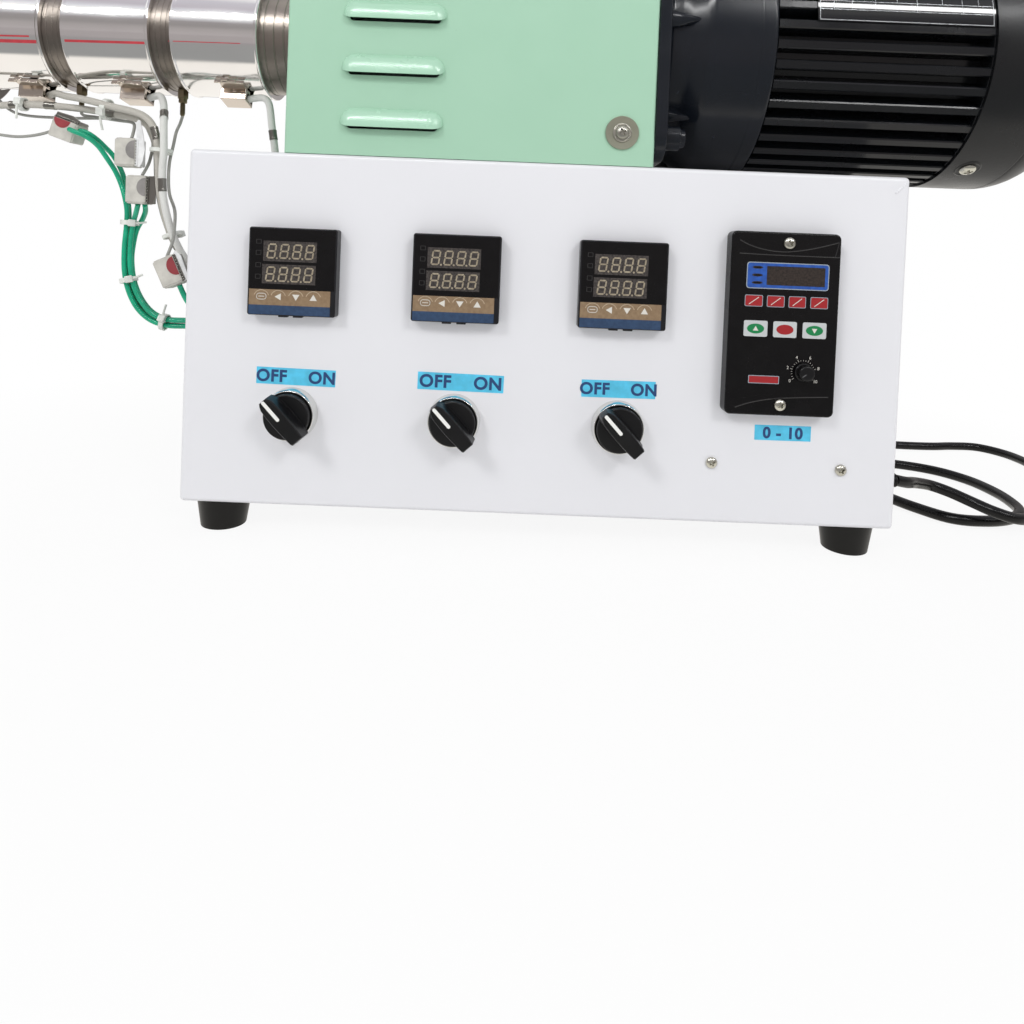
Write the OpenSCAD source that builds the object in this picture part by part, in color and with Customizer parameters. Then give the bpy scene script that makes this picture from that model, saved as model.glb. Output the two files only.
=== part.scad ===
// Desktop single-screw filament extruder: a sheet-metal control cabinet on four rubber feet
// carries a louvred drive housing, a geared motor on the right and a heated barrel on the left.
// X runs along the screw with the motor at +X, the control panel faces -Y, Z is up.
// The origin is on the floor, under the centre of the front left foot.

/* [Cabinet] */
// Width of the cabinet
cabinet_w = 400; // [380:5:480]
// Depth of the cabinet
cabinet_d = 150; // [145:5:180]
// Height of the cabinet without its feet
cabinet_h = 197; // [190:1:240]
// Thickness of the cabinet sheet
sheet_t = 1.5; // [1:0.1:2.5]
// Height of the rubber feet
foot_h = 18; // [12:1:30]
// Upper diameter of the rubber feet
foot_top_d = 30; // [26:1:34]
// Lower diameter of the rubber feet
foot_bottom_d = 25; // [20:1:26]
// Distance from a foot's centre to the cabinet's sides
foot_inset = 18.5; // [17:0.5:30]

/* [Control panel] */
// Face size of the temperature controllers
controller_face = 48; // [46:0.5:52]
// How far the controllers stand out of the panel
controller_proud = 8; // [5:0.5:10]
// Length of the controllers behind the panel
controller_depth = 80; // [60:5:100]
// Height of the controllers' centres over the cabinet's lower edge
controller_z = 131; // [128:1:140]
// Height of the switches' centres over the cabinet's lower edge
switch_z = 52; // [46:1:56]
// Diameter of the switch bezels
bezel_d = 29.5; // [28:0.5:31]
// Diameter of the switches' round plate
knob_d = 25; // [22:0.5:26]
// Length of the switches' grip
grip_l = 29; // [26:0.5:32]
// Diameter of the switch shafts
shaft_d = 8; // [6:0.5:10]
// Width of the speed controller's face
speed_w = 59.5; // [55:0.5:64]
// Height of the speed controller's face
speed_h = 100; // [95:1:105]
// How far the speed controller stands out of the panel
speed_proud = 9; // [6:0.5:12]
// Height of the speed controller's centre over the cabinet's lower edge
speed_z = 113.4; // [110:0.2:120]

/* [Drive housing] */
// Length of the housing along the screw
housing_l = 205.5; // [200:0.5:220]
// Distance from the cabinet's left side to the housing
housing_inset = 52; // [45:1:60]
// Height of the housing
housing_h = 157; // [155:1:175]
// Height of the screw's axis over the cabinet
axis_rise = 79.5; // [78:0.5:85]
// Length of a louvre
louvre_l = 56; // [40:1:60]
// Distance between the louvres
louvre_pitch = 29.7; // [26:0.1:30]

/* [Gear motor] */
// Side of the square gearbox flange
flange_side = 150; // [146:1:152]
// Thickness of the gearbox flange
flange_t = 7; // [5:0.5:10]
// Length of the gearbox casting
case_l = 59; // [50:0.5:70]
// Outer radius of the gearbox casting
case_r = 75.5; // [72:0.5:78]
// Length of the finned motor body
body_l = 120; // [100:1:160]
// Radius over the motor's fins
fin_r = 74.5; // [70:0.5:76]
// Outer radius of the fan cowl
cowl_r = 75.7; // [75:0.1:79]
// Straight length of the fan cowl
cowl_l = 38; // [30:1:50]
// Radius of the fan cowl's shoulder
shoulder_r = 30; // [15:1:40]

/* [Barrel] */
// Outer radius of the barrel
barrel_r = 32; // [29:0.5:34]
// Bore radius of the barrel
bore_r = 10; // [8:0.5:12]
// Bare length of barrel between the housing and the first heater band
bare_l = 32; // [28:0.1:40]
// Width of a heater band
band_w = 53.2; // [50:0.1:60]
// Distance between the heater bands
band_pitch = 66.5; // [66:0.5:75]
// Thickness of a heater band
band_t = 3.2; // [2:0.1:5]
// Radius of the die head
die_r = 36; // [34:0.5:40]

/* [Hopper] */
// Upper radius of the hopper
hopper_r = 80; // [60:1:95]
// Height of the hopper's cone
hopper_h = 120; // [90:5:150]
// Inner radius of the feed throat
throat_r = 15; // [12:0.5:18]

/* [Power cord] */
// Diameter of the power cord
cord_d = 7; // [6:0.5:8]

/* [Hidden] */
$fn = 48;

// A clearance that keeps facing curved surfaces from biting into each other
seat_gap = 0.1;
// Radial clearance of a shaft that turns in its bore
running_gap = 0.05;
// Small overlap that makes a cut pass cleanly through a face
cut = 1;

// Levels and edges
top_z = foot_h + cabinet_h;
axis_z = top_z + axis_rise;
front_y = -cabinet_d / 2;
left_x = -cabinet_w / 2;
inside_y = front_y + sheet_t;

// Places on the control panel, across the cabinet
controller_x = [-138.2, -48.9, 42.2];
switch_x = [-138.3, -47.8, 43.3];
speed_x = 129.6;
panel_screw_at = [[96.6, 34], [168.7, 32.6]];
panel_screw_d = 7;
panel_screw_hole = 4;
controller_body = controller_face - 3.4;
controller_hole = controller_body + 0.6;
bezel_l = 7;
switch_hole_d = 22;
switch_body_l = 45;
knob_gap = 0.4;
knob_seat = 4.5;
knob_plate_t = 4;
grip_h = 10;
grip_base = 10;
grip_top = 9;
speed_body_w = speed_w - 6;
speed_body_h = speed_h - 12;
speed_body_l = 60;
dial_at = [11.9, -25.5];
dial_r = 5;
dial_l = 6;
dial_shaft_r = 2;
dial_sink = 12;

// Housing
housing_x0 = left_x + housing_inset;
housing_x1 = housing_x0 + housing_l;
housing_d = cabinet_d - 2;
housing_t = 1.5;
housing_top = top_z + housing_h;
louvre_x = housing_x0 + 59.3;
louvre_first = 15.6;
louvre_h = 10.5;
louvre_out = 5;
louvre_count = 5;
washer_d = 18.5;
screw_head_d = 9.5;
housing_screw_x = housing_x1 - 18.4;
housing_screw_z = 18.1;
block_inset = 6;
block_l = 80;
block_half = 50;
block_top = housing_top - housing_t - 2;
bearing_r = 58;
pedestal_half = 40;

// Motor
flange_x = housing_x1;
case_x = flange_x + flange_t;
body_x = case_x + case_l;
rim_x = body_x + body_l;
cowl_end = rim_x + cowl_l + shoulder_r;
core_r = fin_r - 12;
fin_count = 42;
fin_phase = 0.75;
fin_w = 4.5;
pad_half = 24;
neck_r = case_r - 9;
neck_l = 14;
case_slope = 12;
cowl_t = 1.5;
bolt_at = flange_side / 2 - 14;
bolt_head_r = 7;
lug_l = 9;
plate_from = 3.5;
plate_to = 47;
plate_t = 0.8;
plate_side = 1.2;
screw_sink = 4;
cowl_screw_x = rim_x + 13;
cowl_screw_angle = 63.6;

// Barrel
band_x1 = housing_x0 - bare_l;
band_count = 3;
band_r = barrel_r + band_t;
barrel_x0 = band_x1 - (band_count - 1) * band_pitch - band_w - 13;
box_angles = [75, 82, 85];
die_box_angle = 82;
box_back = 20.4;
box_w = 15.8;
box_out = 7.6;
box_side = 13;
die_collar_r = 47;
die_collar_l = 15;
die_l = 50;
die_band_w = 34;
nozzle_r = 11;
nozzle_l = 24;
nozzle_bore = 1.5;
die_x0 = barrel_x0 - die_collar_l - die_l;
probe_r = 1.5;
probe_nut_r = 3.5;
probe_l = 17;
barrel_probe_x = band_x1 - band_w - (band_pitch - band_w) / 2;
rear_probe_angle = 150;
die_gap = 13;
die_probe_x = barrel_x0 - die_collar_l - die_gap / 2;

// Connector blocks of the thermocouples: place and lean of each, their wires leave at the bottom
connector_size = [15, 12, 18];
connector_at = [[-306, -13, 232], [-261.5, -21, 217.5], [-254, -21, 194.5], [-222, -43, 145.5]];
connector_lean = [-72, 0, 0, -25];
connector_turn = [-38, 0, 0, 0];

// Entries of the leads and the cord
entry_x = left_x - 3;
grommet_y = [-42, -2];
grommet_z = [102, 150];
top_entry = [housing_x0 - 21.5, -24];
gland_y = -30;
gland_z = 33;
gland_r = 7;
gland_l = 24;
gland_tip_r = 4.6;
lead_d = 4.4;
couple_d = 2;
green_d = 3.2;

// Routes of the leads, from the band, probe or connector that each starts at
route_lead_1 = [[-192.3, -10.2, 256.4], [-183, -13, 257], [-178, -16.5, 254], [-175, -20.5, 248],
    [-172.5, -24, 238], [-170.5, -24, 226], [top_entry[0], -24, 219]];
route_lead_2 = [[-258.8, -5.5, 255.5], [-251, -9, 256.5], [-246, -14, 252.5], [-241.5, -21, 245],
    [-238, -28, 234], [-236.5, -30, 219], [-237, -30, 207], [-236.5, -30, 194.5],
    [-234.5, -30, 183.5], [-231.5, -30, 173], [-228, -30, 164], [-221, -30, 152.5],
    [-212, -30, 144.5], [entry_x, -30, 142]];
route_lead_3 = [[-325.3, -3.4, 255.2], [-318, -8, 255.5], [-308.5, -14, 253], [-295, -20, 250.5],
    [-283.5, -24, 248], [-272.5, -24, 245.5], [-261.5, -24, 243.5], [-253.5, -24, 241],
    [-248, -24, 236.5], [-245, -24, 230], [-243.5, -24, 222], [-242.5, -24, 210],
    [-241.5, -24, 196], [-239, -24, 184.5], [-235.5, -24, 173], [-231.5, -24, 163.5],
    [-223, -24, 151], [-213, -24, 143], [entry_x, -24, 140]];
route_lead_4 = [[-419.5, -6, 251.5], [-410, -9, 250], [-396, -13, 247], [-376, -14, 245.5],
    [-356, -14, 245], [-334, -14, 246.5], [-314.5, -14, 246.3], [-295.5, -14, 245],
    [-277, -16, 242.5], [-262, -18, 240], [-254, -18, 236.5], [-250.5, -18, 231],
    [-248.5, -16.5, 224], [-248.7, -13.5, 215.5], [-249.3, -11.3, 206], [-248.3, -11, 195.5],
    [-245.5, -12, 185], [-240.5, -15, 174], [-234, -18, 162.5], [-224.5, -18, 149], [-213.5, -18, 140.5],
    [entry_x, -18, 138]];
route_couple_1 = [[-239.85, 0, 245.4], [-240.2, -2, 240.5], [-239.8, -8, 233.5], [-239, -13, 224],
    [-238.5, -18, 214], [-237.5, -21, 203], [-236, -22, 192.5], [-231, -25, 182.5],
    [-226, -35, 172], [-224, -41, 163], [-226.1, -43, 154]];
route_couple_2 = [[-400.7, 0, 241.4], [-397, -2, 236.5], [-384, -6, 232], [-367, -9, 229],
    [-351, -11, 227], [-340, -11, 226.3], [-329, -10.5, 227.8], [-320, -9, 231],
    [-313.1, -7.5, 235.1]];
route_couple_3 = [[-306.35, 0, 245.4], [-303, -3, 243], [-292, -7, 241.5], [-277, -9.5, 239.5],
    [-266, -13, 238], [-261.5, -18, 234.5], [-261.3, -21, 227]];
route_couple_4 = [[-400.7, 45.9, 268], [-398.5, 48, 264], [-386, 42, 254], [-360, 24, 246],
    [-320, 10, 243], [-285, 3, 243], [-264, -5, 242], [-255.5, -10.5, 235.5],
    [-253, -11, 226], [-252.8, -13.5, 217], [-252.5, -17.5, 210.5], [-254, -21, 204]];
route_green_1 = [[-300.6, -21.1, 230.8], [-297, -23, 229.5], [-292.5, -22.5, 228], [-288.5, -19.5, 225.5],
    [-285.5, -15, 221.5], [-282.5, -11, 215], [-278.5, -8.5, 207.5], [-274.5, -8.5, 199.5],
    [-271, -10, 191.5], [-268.5, -11, 182],
    [-268.5, -11, 172], [-269.5, -11, 157], [-269, -11, 142.5], [-266, -11, 130],
    [-260, -11, 119], [-251, -11, 111.5], [-240, -11, 108.5], [-227, -11, 108.5],
    [entry_x, -11, 108.5]];
route_green_2 = [[-296.8, -16.4, 230.8], [-293.5, -18.3, 230.3], [-290, -17.3, 228.8],
    [-287.5, -13, 226], [-286, -7.5, 222.5], [-283, -3.8, 218], [-279.5, -2.8, 212], [-276, -3.2, 205], [-272.8, -4.5, 196], [-270.3, -6.3, 187],
    [-269, -7.3, 177], [-269.7, -7.3, 164], [-270.2, -7.3, 150], [-268.5, -7.3, 136],
    [-263.5, -7.3, 123.5], [-255.5, -7.3, 114], [-245, -7.3, 109], [-229, -7.3, 108.5],
    [entry_x, -7.3, 108.5]];
route_green_3 = [[-256.2, -21, 185.4], [-259, -17.5, 181], [-263, -12.5, 175.5], [-265, -11, 168],
    [-265.7, -11, 157], [-265.2, -11, 144.5], [-262.3, -11, 132.5], [-256.8, -11, 122.5],
    [-249, -11, 115], [-239, -11, 112.2], [-227, -11, 112.2], [entry_x, -11, 112.2]];
route_green_4 = [[-251.8, -21, 185.4], [-254.5, -15, 181.5], [-259.5, -8.8, 176.5],
    [-264, -7.3, 169], [-266, -7.3, 158], [-266.4, -7.3, 149], [-264.6, -7.3, 137],
    [-260, -7.3, 126], [-252.5, -7.3, 117], [-242.5, -7.3, 112.5], [-229, -7.3, 112.2],
    [entry_x, -7.3, 112.2]];
route_green_5 = [[-218.1, -43, 137], [-214.5, -41, 128], [-209.5, -39, 121.5], [entry_x, -37, 119]];

// Route of the power cord: out of the right side, one wide loop, one small loop, then behind
route_cord = [[left_x + cabinet_w + gland_l, gland_y, gland_z], [233, -26.5, 30.8], [244, -17, 28],
    [259, -8, 24], [270, -11, 21], [281, -17, 17], [290, -25, 14], [302, -27, 11], [318, -19, 8],
    [340, -6, 4.5], [366, 14, 4], [395, 48, 4], [415, 90, 4], [424, 130, 4], [424, 160, 4],
    [412, 180, 4], [390, 181, 4], [370, 177, 4], [346, 176, 4], [318, 178, 4], [285, 182, 4],
    [256, 178, 4], [238, 162, 4], [238, 140, 4], [254, 124, 4], [280, 118, 4], [307, 110, 4],
    [326, 97, 4], [337, 77, 4], [340, 55, 4], [338, 32, 4], [330, 8, 4], [314, -7, 4],
    [293, -14, 4], [272, -11, 4], [258, 9, 4], [247, 34, 4], [232, 58, 4], [219, 88, 4],
    [213, 120, 4], [206, 150, 4], [186, 170, 4], [155, 175, 4], [100, 172, 4], [50, 168, 4],
    [0, 165, 4], [-50, 165, 4], [-90, 166, 6], [-125, 166, 10], [-150, 166, 11]];

plug_size = [36, 34, 20];
pin_size = [19, 1.8, 6.3];

// A point of the smooth curve through p, u of the way from point i to the next
function along(p, i, u) =
    let (a = p[max(i - 1, 0)], b = p[i], c = p[i + 1], d = p[min(i + 2, len(p) - 1)])
    0.5 * (2 * b + (c - a) * u + (2 * a - 5 * b + 4 * c - d) * u * u
        + (3 * b - a - 3 * c + d) * u * u * u);

// The smooth curve through p, as points about step apart
function curve(p, step) = [
    for (i = [0 : len(p) - 2])
        let (n = max(1, round(norm(p[i + 1] - p[i]) / step)))
            for (k = [0 : n - 1]) along(p, i, k / n),
    p[len(p) - 1]];

function unit(v) = v / norm(v);

// The direction of a curve at its point i
function heading(p, i) = unit(p[min(i + 1, len(p) - 1)] - p[max(i - 1, 0)]);

// The ring of a tube's corners at point i; side is roughly square to the whole curve
function ring(p, i, r, n, side) =
    let (t = heading(p, i), u = unit(cross(side, t)), v = cross(t, u))
    [for (k = [0 : n - 1]) p[i] + r * (cos(360 * k / n) * u + sin(360 * k / n) * v)];

// A tube of diameter d swept along the smooth curve through p
module tube(p, d, step, side, n = 8) {
    c = curve(p, step);
    last = len(c) - 1;
    points = [for (i = [0 : last]) each ring(c, i, d / 2, n, side)];
    walls = [for (i = [0 : last - 1]) for (k = [0 : n - 1])
        each [[i * n + k, (i + 1) * n + k, (i + 1) * n + (k + 1) % n],
            [i * n + k, (i + 1) * n + (k + 1) % n, i * n + (k + 1) % n]]];
    first_cap = [for (k = [0 : n - 1]) k];
    last_cap = [for (k = [n - 1 : -1 : 0]) last * n + k];
    polyhedron(points, concat(walls, [first_cap, last_cap]));
}

// A cylinder that starts at x and runs towards +X
module along_x(x, r, l, y = 0, z = 0) {
    translate([x, y, z]) rotate([0, 90, 0]) cylinder(r = r, h = l);
}

// A cylinder that starts at y and runs towards +Y
module along_y(y, r, l, x = 0, z = 0) {
    translate([x, y, z]) rotate([-90, 0, 0]) cylinder(r = r, h = l);
}

// A body turned about the screw's axis: profile holds [x, r] pairs
module turned(profile) {
    translate([0, 0, axis_z]) rotate([0, 90, 0]) rotate_extrude()
        polygon([for (q = profile) [q[1], q[0]]]);
}

// Places its children on the screw's axis, turned down by angle from the front
module around_axis(x, angle) {
    translate([x, 0, axis_z]) rotate([angle, 0, 0]) children();
}

// A rounded plate in the XZ plane, centred, from y towards -Y
module face_plate(y, w, h, r, t) {
    translate([0, y, 0]) rotate([90, 0, 0]) linear_extrude(t) union() {
        square([w - 2 * r, h], center = true);
        square([w, h - 2 * r], center = true);
        for (sx = [-1, 1]) for (sz = [-1, 1])
            translate([sx * (w / 2 - r), sz * (h / 2 - r)]) circle(r = r);
    }
}

module cabinet_shell() {
    color("whitesmoke") difference() {
        translate([left_x, front_y, foot_h]) cube([cabinet_w, cabinet_d, cabinet_h]);
        translate([left_x + sheet_t, inside_y, foot_h - cut])
            cube([cabinet_w - 2 * sheet_t, cabinet_d, cabinet_h - sheet_t + cut]);
        for (x = controller_x)
            translate([x - controller_hole / 2, front_y - cut, foot_h + controller_z - controller_hole / 2])
                cube([controller_hole, sheet_t + 2 * cut, controller_hole]);
        for (x = switch_x)
            along_y(front_y - cut, switch_hole_d / 2 + seat_gap, sheet_t + 2 * cut, x, foot_h + switch_z);
        translate([speed_x - speed_body_w / 2 - seat_gap, front_y - cut,
                foot_h + speed_z - speed_body_h / 2 - seat_gap])
            cube([speed_body_w + 2 * seat_gap, sheet_t + 2 * cut, speed_body_h + 2 * seat_gap]);
        for (q = panel_screw_at)
            along_y(front_y - cut, panel_screw_hole / 2 + seat_gap, sheet_t + 2 * cut, q[0], foot_h + q[1]);
        along_x(-left_x - sheet_t - cut, gland_r - 1.5, sheet_t + 2 * cut, gland_y, gland_z);
        translate([left_x - cut, grommet_y[0] + 2, grommet_z[0] + 2])
            cube([sheet_t + 2 * cut, grommet_y[1] - grommet_y[0] - 4, grommet_z[1] - grommet_z[0] - 4]);
        translate([top_entry[0], top_entry[1], top_z - sheet_t - cut]) cylinder(r = 4, h = sheet_t + 2 * cut);
    }
}

module cabinet_base() {
    color("whitesmoke") translate([left_x + sheet_t, inside_y, foot_h])
        cube([cabinet_w - 2 * sheet_t, cabinet_d - 2 * sheet_t, sheet_t]);
}

module cabinet_back() {
    color("whitesmoke") translate([left_x + sheet_t, -front_y - sheet_t, foot_h])
        cube([cabinet_w - 2 * sheet_t, sheet_t, cabinet_h - sheet_t]);
}

module rubber_feet() {
    color("black") for (sx = [-1, 1]) for (sy = [-1, 1])
        translate([sx * (cabinet_w / 2 - foot_inset), sy * (cabinet_d / 2 - foot_inset), 0])
            cylinder(d1 = foot_bottom_d, d2 = foot_top_d, h = foot_h);
}

module temperature_controller(i) {
    translate([controller_x[i], 0, foot_h + controller_z]) color("black") {
        face_plate(front_y, controller_face, controller_face, 1, controller_proud);
        translate([-controller_body / 2, front_y, -controller_body / 2])
            cube([controller_body, controller_depth, controller_body]);
    }
}

module switch_bezel(i) {
    translate([switch_x[i], front_y, foot_h + switch_z]) color("silver") difference() {
        union() {
            rotate([90, 0, 0]) cylinder(d1 = bezel_d, d2 = bezel_d - 1.8, h = bezel_l);
            rotate([-90, 0, 0]) cylinder(d = switch_hole_d, h = switch_body_l);
        }
        rotate([90, 0, 0]) translate([0, 0, bezel_l - knob_seat])
            cylinder(r = knob_d / 2 + knob_gap, h = knob_seat + cut);
        rotate([90, 0, 0]) translate([0, 0, -switch_body_l / 2])
            cylinder(r = shaft_d / 2 + running_gap, h = switch_body_l);
    }
}

module switch_handle(i) {
    seat_y = front_y - bezel_l + knob_seat - knob_gap;
    translate([switch_x[i], 0, foot_h + switch_z]) color("black") union() {
        along_y(seat_y - knob_seat - knob_plate_t + knob_gap, knob_d / 2, knob_seat + knob_plate_t - knob_gap);
        along_y(seat_y - cut, shaft_d / 2, switch_body_l / 2);
        translate([0, seat_y - knob_seat - knob_plate_t + knob_gap, 0]) rotate([0, 45, 0])
            rotate([0, 90, 0]) translate([0, 0, -grip_l / 2]) linear_extrude(grip_l)
                polygon([[-grip_base / 2, 0], [grip_base / 2, 0], [grip_top / 2, -grip_h], [-grip_top / 2, -grip_h]]);
    }
}

module speed_controller() {
    translate([speed_x, 0, foot_h + speed_z]) color("dimgray") difference() {
        union() {
            face_plate(front_y, speed_w, speed_h, 3, speed_proud);
            translate([-speed_body_w / 2, front_y, -speed_body_h / 2])
                cube([speed_body_w, speed_body_l, speed_body_h]);
        }
        along_y(front_y - speed_proud - cut, dial_shaft_r + running_gap, dial_sink + cut, dial_at[0], dial_at[1]);
    }
}

module speed_dial() {
    face_y = front_y - speed_proud;
    translate([speed_x + dial_at[0], 0, foot_h + speed_z + dial_at[1]]) color("black") union() {
        along_y(face_y - 0.5 - dial_l, dial_r, dial_l);
        along_y(face_y - 2, dial_shaft_r, dial_sink);
    }
}

module panel_screws() {
    color("silver") for (q = panel_screw_at) {
        along_y(front_y - 2.5, panel_screw_d / 2, 2.5, q[0], foot_h + q[1]);
        along_y(front_y - 2.5, panel_screw_hole / 2, 12, q[0], foot_h + q[1]);
    }
}

// One hooded louvre that opens downward, its lower edge at z on the face y = 0
module louvre_hood(z) {
    translate([louvre_x - louvre_l / 2, 0, z]) rotate([90, 0, 90]) linear_extrude(louvre_l)
        polygon([[0, louvre_h], [-louvre_out, louvre_h * 0.45], [-louvre_out, 0],
            [-louvre_out + 1, 0], [-louvre_out + 1, louvre_h * 0.3], [0, louvre_h * 0.8]]);
}

module louvred_side() {
    for (k = [0 : louvre_count - 1]) louvre_hood(top_z + louvre_first + k * louvre_pitch);
}

module louvre_slots() {
    for (k = [0 : louvre_count - 1])
        translate([louvre_x - louvre_l / 2 + 2, -cut, top_z + louvre_first + k * louvre_pitch])
            cube([louvre_l - 4, housing_t + 2 * cut, louvre_h * 0.6]);
}

module housing_cover() {
    color("#a9d2b6") difference() {
        union() {
            difference() {
                translate([housing_x0, -housing_d / 2, top_z]) cube([housing_l, housing_d, housing_h]);
                translate([housing_x0 + housing_t, -housing_d / 2 + housing_t, top_z - cut])
                    cube([housing_l - 2 * housing_t, housing_d - 2 * housing_t, housing_h - housing_t + cut]);
            }
            translate([0, -housing_d / 2, 0]) louvred_side();
            mirror([0, 1, 0]) translate([0, -housing_d / 2, 0]) louvred_side();
        }
        translate([0, -housing_d / 2, 0]) louvre_slots();
        mirror([0, 1, 0]) translate([0, -housing_d / 2, 0]) louvre_slots();
        along_x(housing_x0 - cut, barrel_r + 1, housing_t + 2 * cut, 0, axis_z);
        along_x(housing_x1 - housing_t - cut, bearing_r + seat_gap, housing_t + 2 * cut, 0, axis_z);
        translate([louvre_x, 0, housing_top - housing_t - cut]) cylinder(r = throat_r + 4, h = housing_t + 2 * cut);
    }
}

module housing_screws() {
    color("silver") for (side = [-1, 1]) for (z = [top_z + housing_screw_z, housing_top - housing_screw_z])
        translate([housing_screw_x, side * housing_d / 2, z]) rotate([-side * 90, 0, 0]) {
            cylinder(d = washer_d, h = 1.2);
            cylinder(d = screw_head_d, h = 4);
        }
}

module feed_block() {
    x0 = housing_x0 + block_inset;
    color("gray") difference() {
        translate([x0, -block_half, top_z]) cube([block_l, 2 * block_half, block_top - top_z]);
        along_x(x0 - cut, barrel_r + seat_gap, block_l + 2 * cut, 0, axis_z);
        translate([louvre_x, 0, axis_z]) cylinder(r = throat_r, h = housing_top - axis_z);
    }
}

module bearing_housing() {
    x0 = housing_x0 + block_inset + block_l;
    color("gray") union() {
        along_x(x0, bearing_r, housing_x1 - x0, 0, axis_z);
        translate([x0, -pedestal_half, top_z]) cube([housing_x1 - x0 - 3, 2 * pedestal_half, axis_rise]);
    }
}

module hopper() {
    wall = 1.2;
    base = housing_top;
    plate = 4;
    neck = 14;
    color("silver") difference() {
        union() {
            translate([louvre_x, 0, base]) rotate_extrude() polygon([[0, 0], [36, 0], [36, plate],
                [throat_r + 3, plate], [throat_r + 3, plate + neck], [hopper_r, plate + neck + hopper_h],
                [hopper_r + 3, plate + neck + hopper_h], [hopper_r + 3, plate + neck + hopper_h + 2],
                [0, plate + neck + hopper_h + 2]]);
        }
        translate([louvre_x, 0, base]) rotate_extrude() polygon([[0, -cut], [throat_r, -cut],
            [throat_r, plate + neck + 0.5], [hopper_r - wall, plate + neck + hopper_h + 0.5],
            [hopper_r - wall, plate + neck + hopper_h + 2 + cut], [0, plate + neck + hopper_h + 2 + cut]]);
    }
}

module gearbox_flange() {
    r = 16;
    color("#232328") translate([flange_x, 0, axis_z]) rotate([0, 0, -90]) difference() {
        translate([0, flange_t, 0]) face_plate(0, flange_side, flange_side, r, flange_t);
    }
}

module gearbox_case() {
    color("#232328") {
        turned([[case_x, 0], [case_x, neck_r], [case_x + neck_l, neck_r], [case_x + neck_l + case_slope, case_r],
            [body_x, case_r], [body_x, 0]]);
    }
}

module gearbox_bolts() {
    color("#232328") for (sy = [-1, 1]) for (sz = [-1, 1]) {
        along_x(case_x, bolt_head_r, lug_l, sy * bolt_at, axis_z + sz * bolt_at);
        along_x(case_x + lug_l, bolt_head_r - 2, 3, sy * bolt_at, axis_z + sz * bolt_at);
    }
}

module motor_body() {
    color("#232328") translate([body_x, 0, axis_z]) rotate([0, 90, 0]) linear_extrude(body_l) union() {
        circle(r = core_r);
        for (k = [0 : fin_count - 1]) rotate((k + fin_phase) * 360 / fin_count)
            translate([-fin_w / 2, -fin_r]) square([fin_w, fin_r - core_r + 2]);
        translate([-pad_half, core_r - 4]) square([2 * pad_half, fin_r - core_r + 5]);
    }
}

module motor_nameplate() {
    span = body_l - 22;
    color("black") translate([rim_x - plate_side - span, 0, axis_z]) rotate([0, 90, 0])
        rotate([0, 0, 270 - plate_to]) rotate_extrude(angle = plate_to - plate_from)
            translate([fin_r + seat_gap, 0]) square([plate_t, span]);
}

module motor_terminal_box() {
    color("#232328") {
        translate([body_x + 22, fin_r + 1, axis_z - 30]) cube([76, 32, 60]);
        along_x(body_x + 98, 8, 14, fin_r + 18, axis_z);
    }
}

module fan_cowl() {
    flat_r = cowl_r - shoulder_r;
    color("#232328") difference() {
        translate([0, 0, axis_z]) rotate([0, 90, 0]) rotate_extrude() difference() {
            union() {
                translate([0, rim_x]) square([cowl_r, cowl_l]);
                translate([0, rim_x + cowl_l]) square([flat_r, shoulder_r]);
                translate([flat_r, rim_x + cowl_l]) intersection() {
                    circle(r = shoulder_r);
                    square([shoulder_r, shoulder_r]);
                }
            }
            translate([-cut, rim_x - cut]) square([cowl_r - cowl_t + cut, cowl_l + cut]);
            translate([-cut, rim_x + cowl_l - cut]) square([flat_r + cut, shoulder_r - cowl_t + cut]);
            translate([flat_r, rim_x + cowl_l]) intersection() {
                circle(r = shoulder_r - cowl_t);
                square([shoulder_r, shoulder_r]);
            }
        }
        for (k = [0 : 11]) translate([cowl_end, 0, axis_z]) rotate([k * 30, 0, 0])
            translate([-10, -flat_r + 4, -3]) cube([20, flat_r - 18, 6]);
    }
}

module cowl_screws() {
    color("silver") for (a = [0, 90, 180, 270]) around_axis(cowl_screw_x, cowl_screw_angle + a)
        translate([0, -cowl_r, 0]) rotate([90, 0, 0]) cylinder(d = 9.5, h = 3.2);
}

module cooling_fan() {
    hub_r = 22;
    color("dimgray") union() {
        along_x(rim_x, hub_r, 30, 0, axis_z);
        for (k = [0 : 5]) translate([rim_x + 8, 0, axis_z]) rotate([k * 60, 0, 0])
            translate([0, -62, -1.5]) cube([24, 46, 3]);
    }
}

module barrel() {
    l = housing_x0 + block_inset + block_l - barrel_x0;
    color("silver") difference() {
        along_x(barrel_x0, barrel_r, l, 0, axis_z);
        along_x(barrel_x0 - cut, bore_r, l - 4 + cut, 0, axis_z);
        translate([louvre_x, 0, axis_z]) cylinder(r = bore_r, h = barrel_r + cut);
    }
}

// The small steel box that a band's lead comes out of, with its clamp tab
module band_box(x1, r, angle) {
    around_axis(x1 - box_back, angle) {
        translate([-box_w / 2, -r - box_out, -box_side / 2]) cube([box_w, box_out + 2, box_side]);
        translate([-box_w / 2 - 3, -r - 2.2, box_side / 2]) cube([box_w + 5, 4.2, 4]);
    }
}

module heater_band(i) {
    x1 = band_x1 - i * band_pitch;
    color("silver") difference() {
        union() {
            along_x(x1 - band_w, band_r, band_w, 0, axis_z);
            band_box(x1, band_r, box_angles[i]);
        }
        along_x(x1 - band_w - cut, barrel_r + seat_gap, band_w + 2 * cut, 0, axis_z);
        around_axis(x1, 200) translate([-band_w - cut, -band_r - cut, -1]) cube([band_w + 2 * cut, band_t + 2 * cut, 2]);
    }
}

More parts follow.
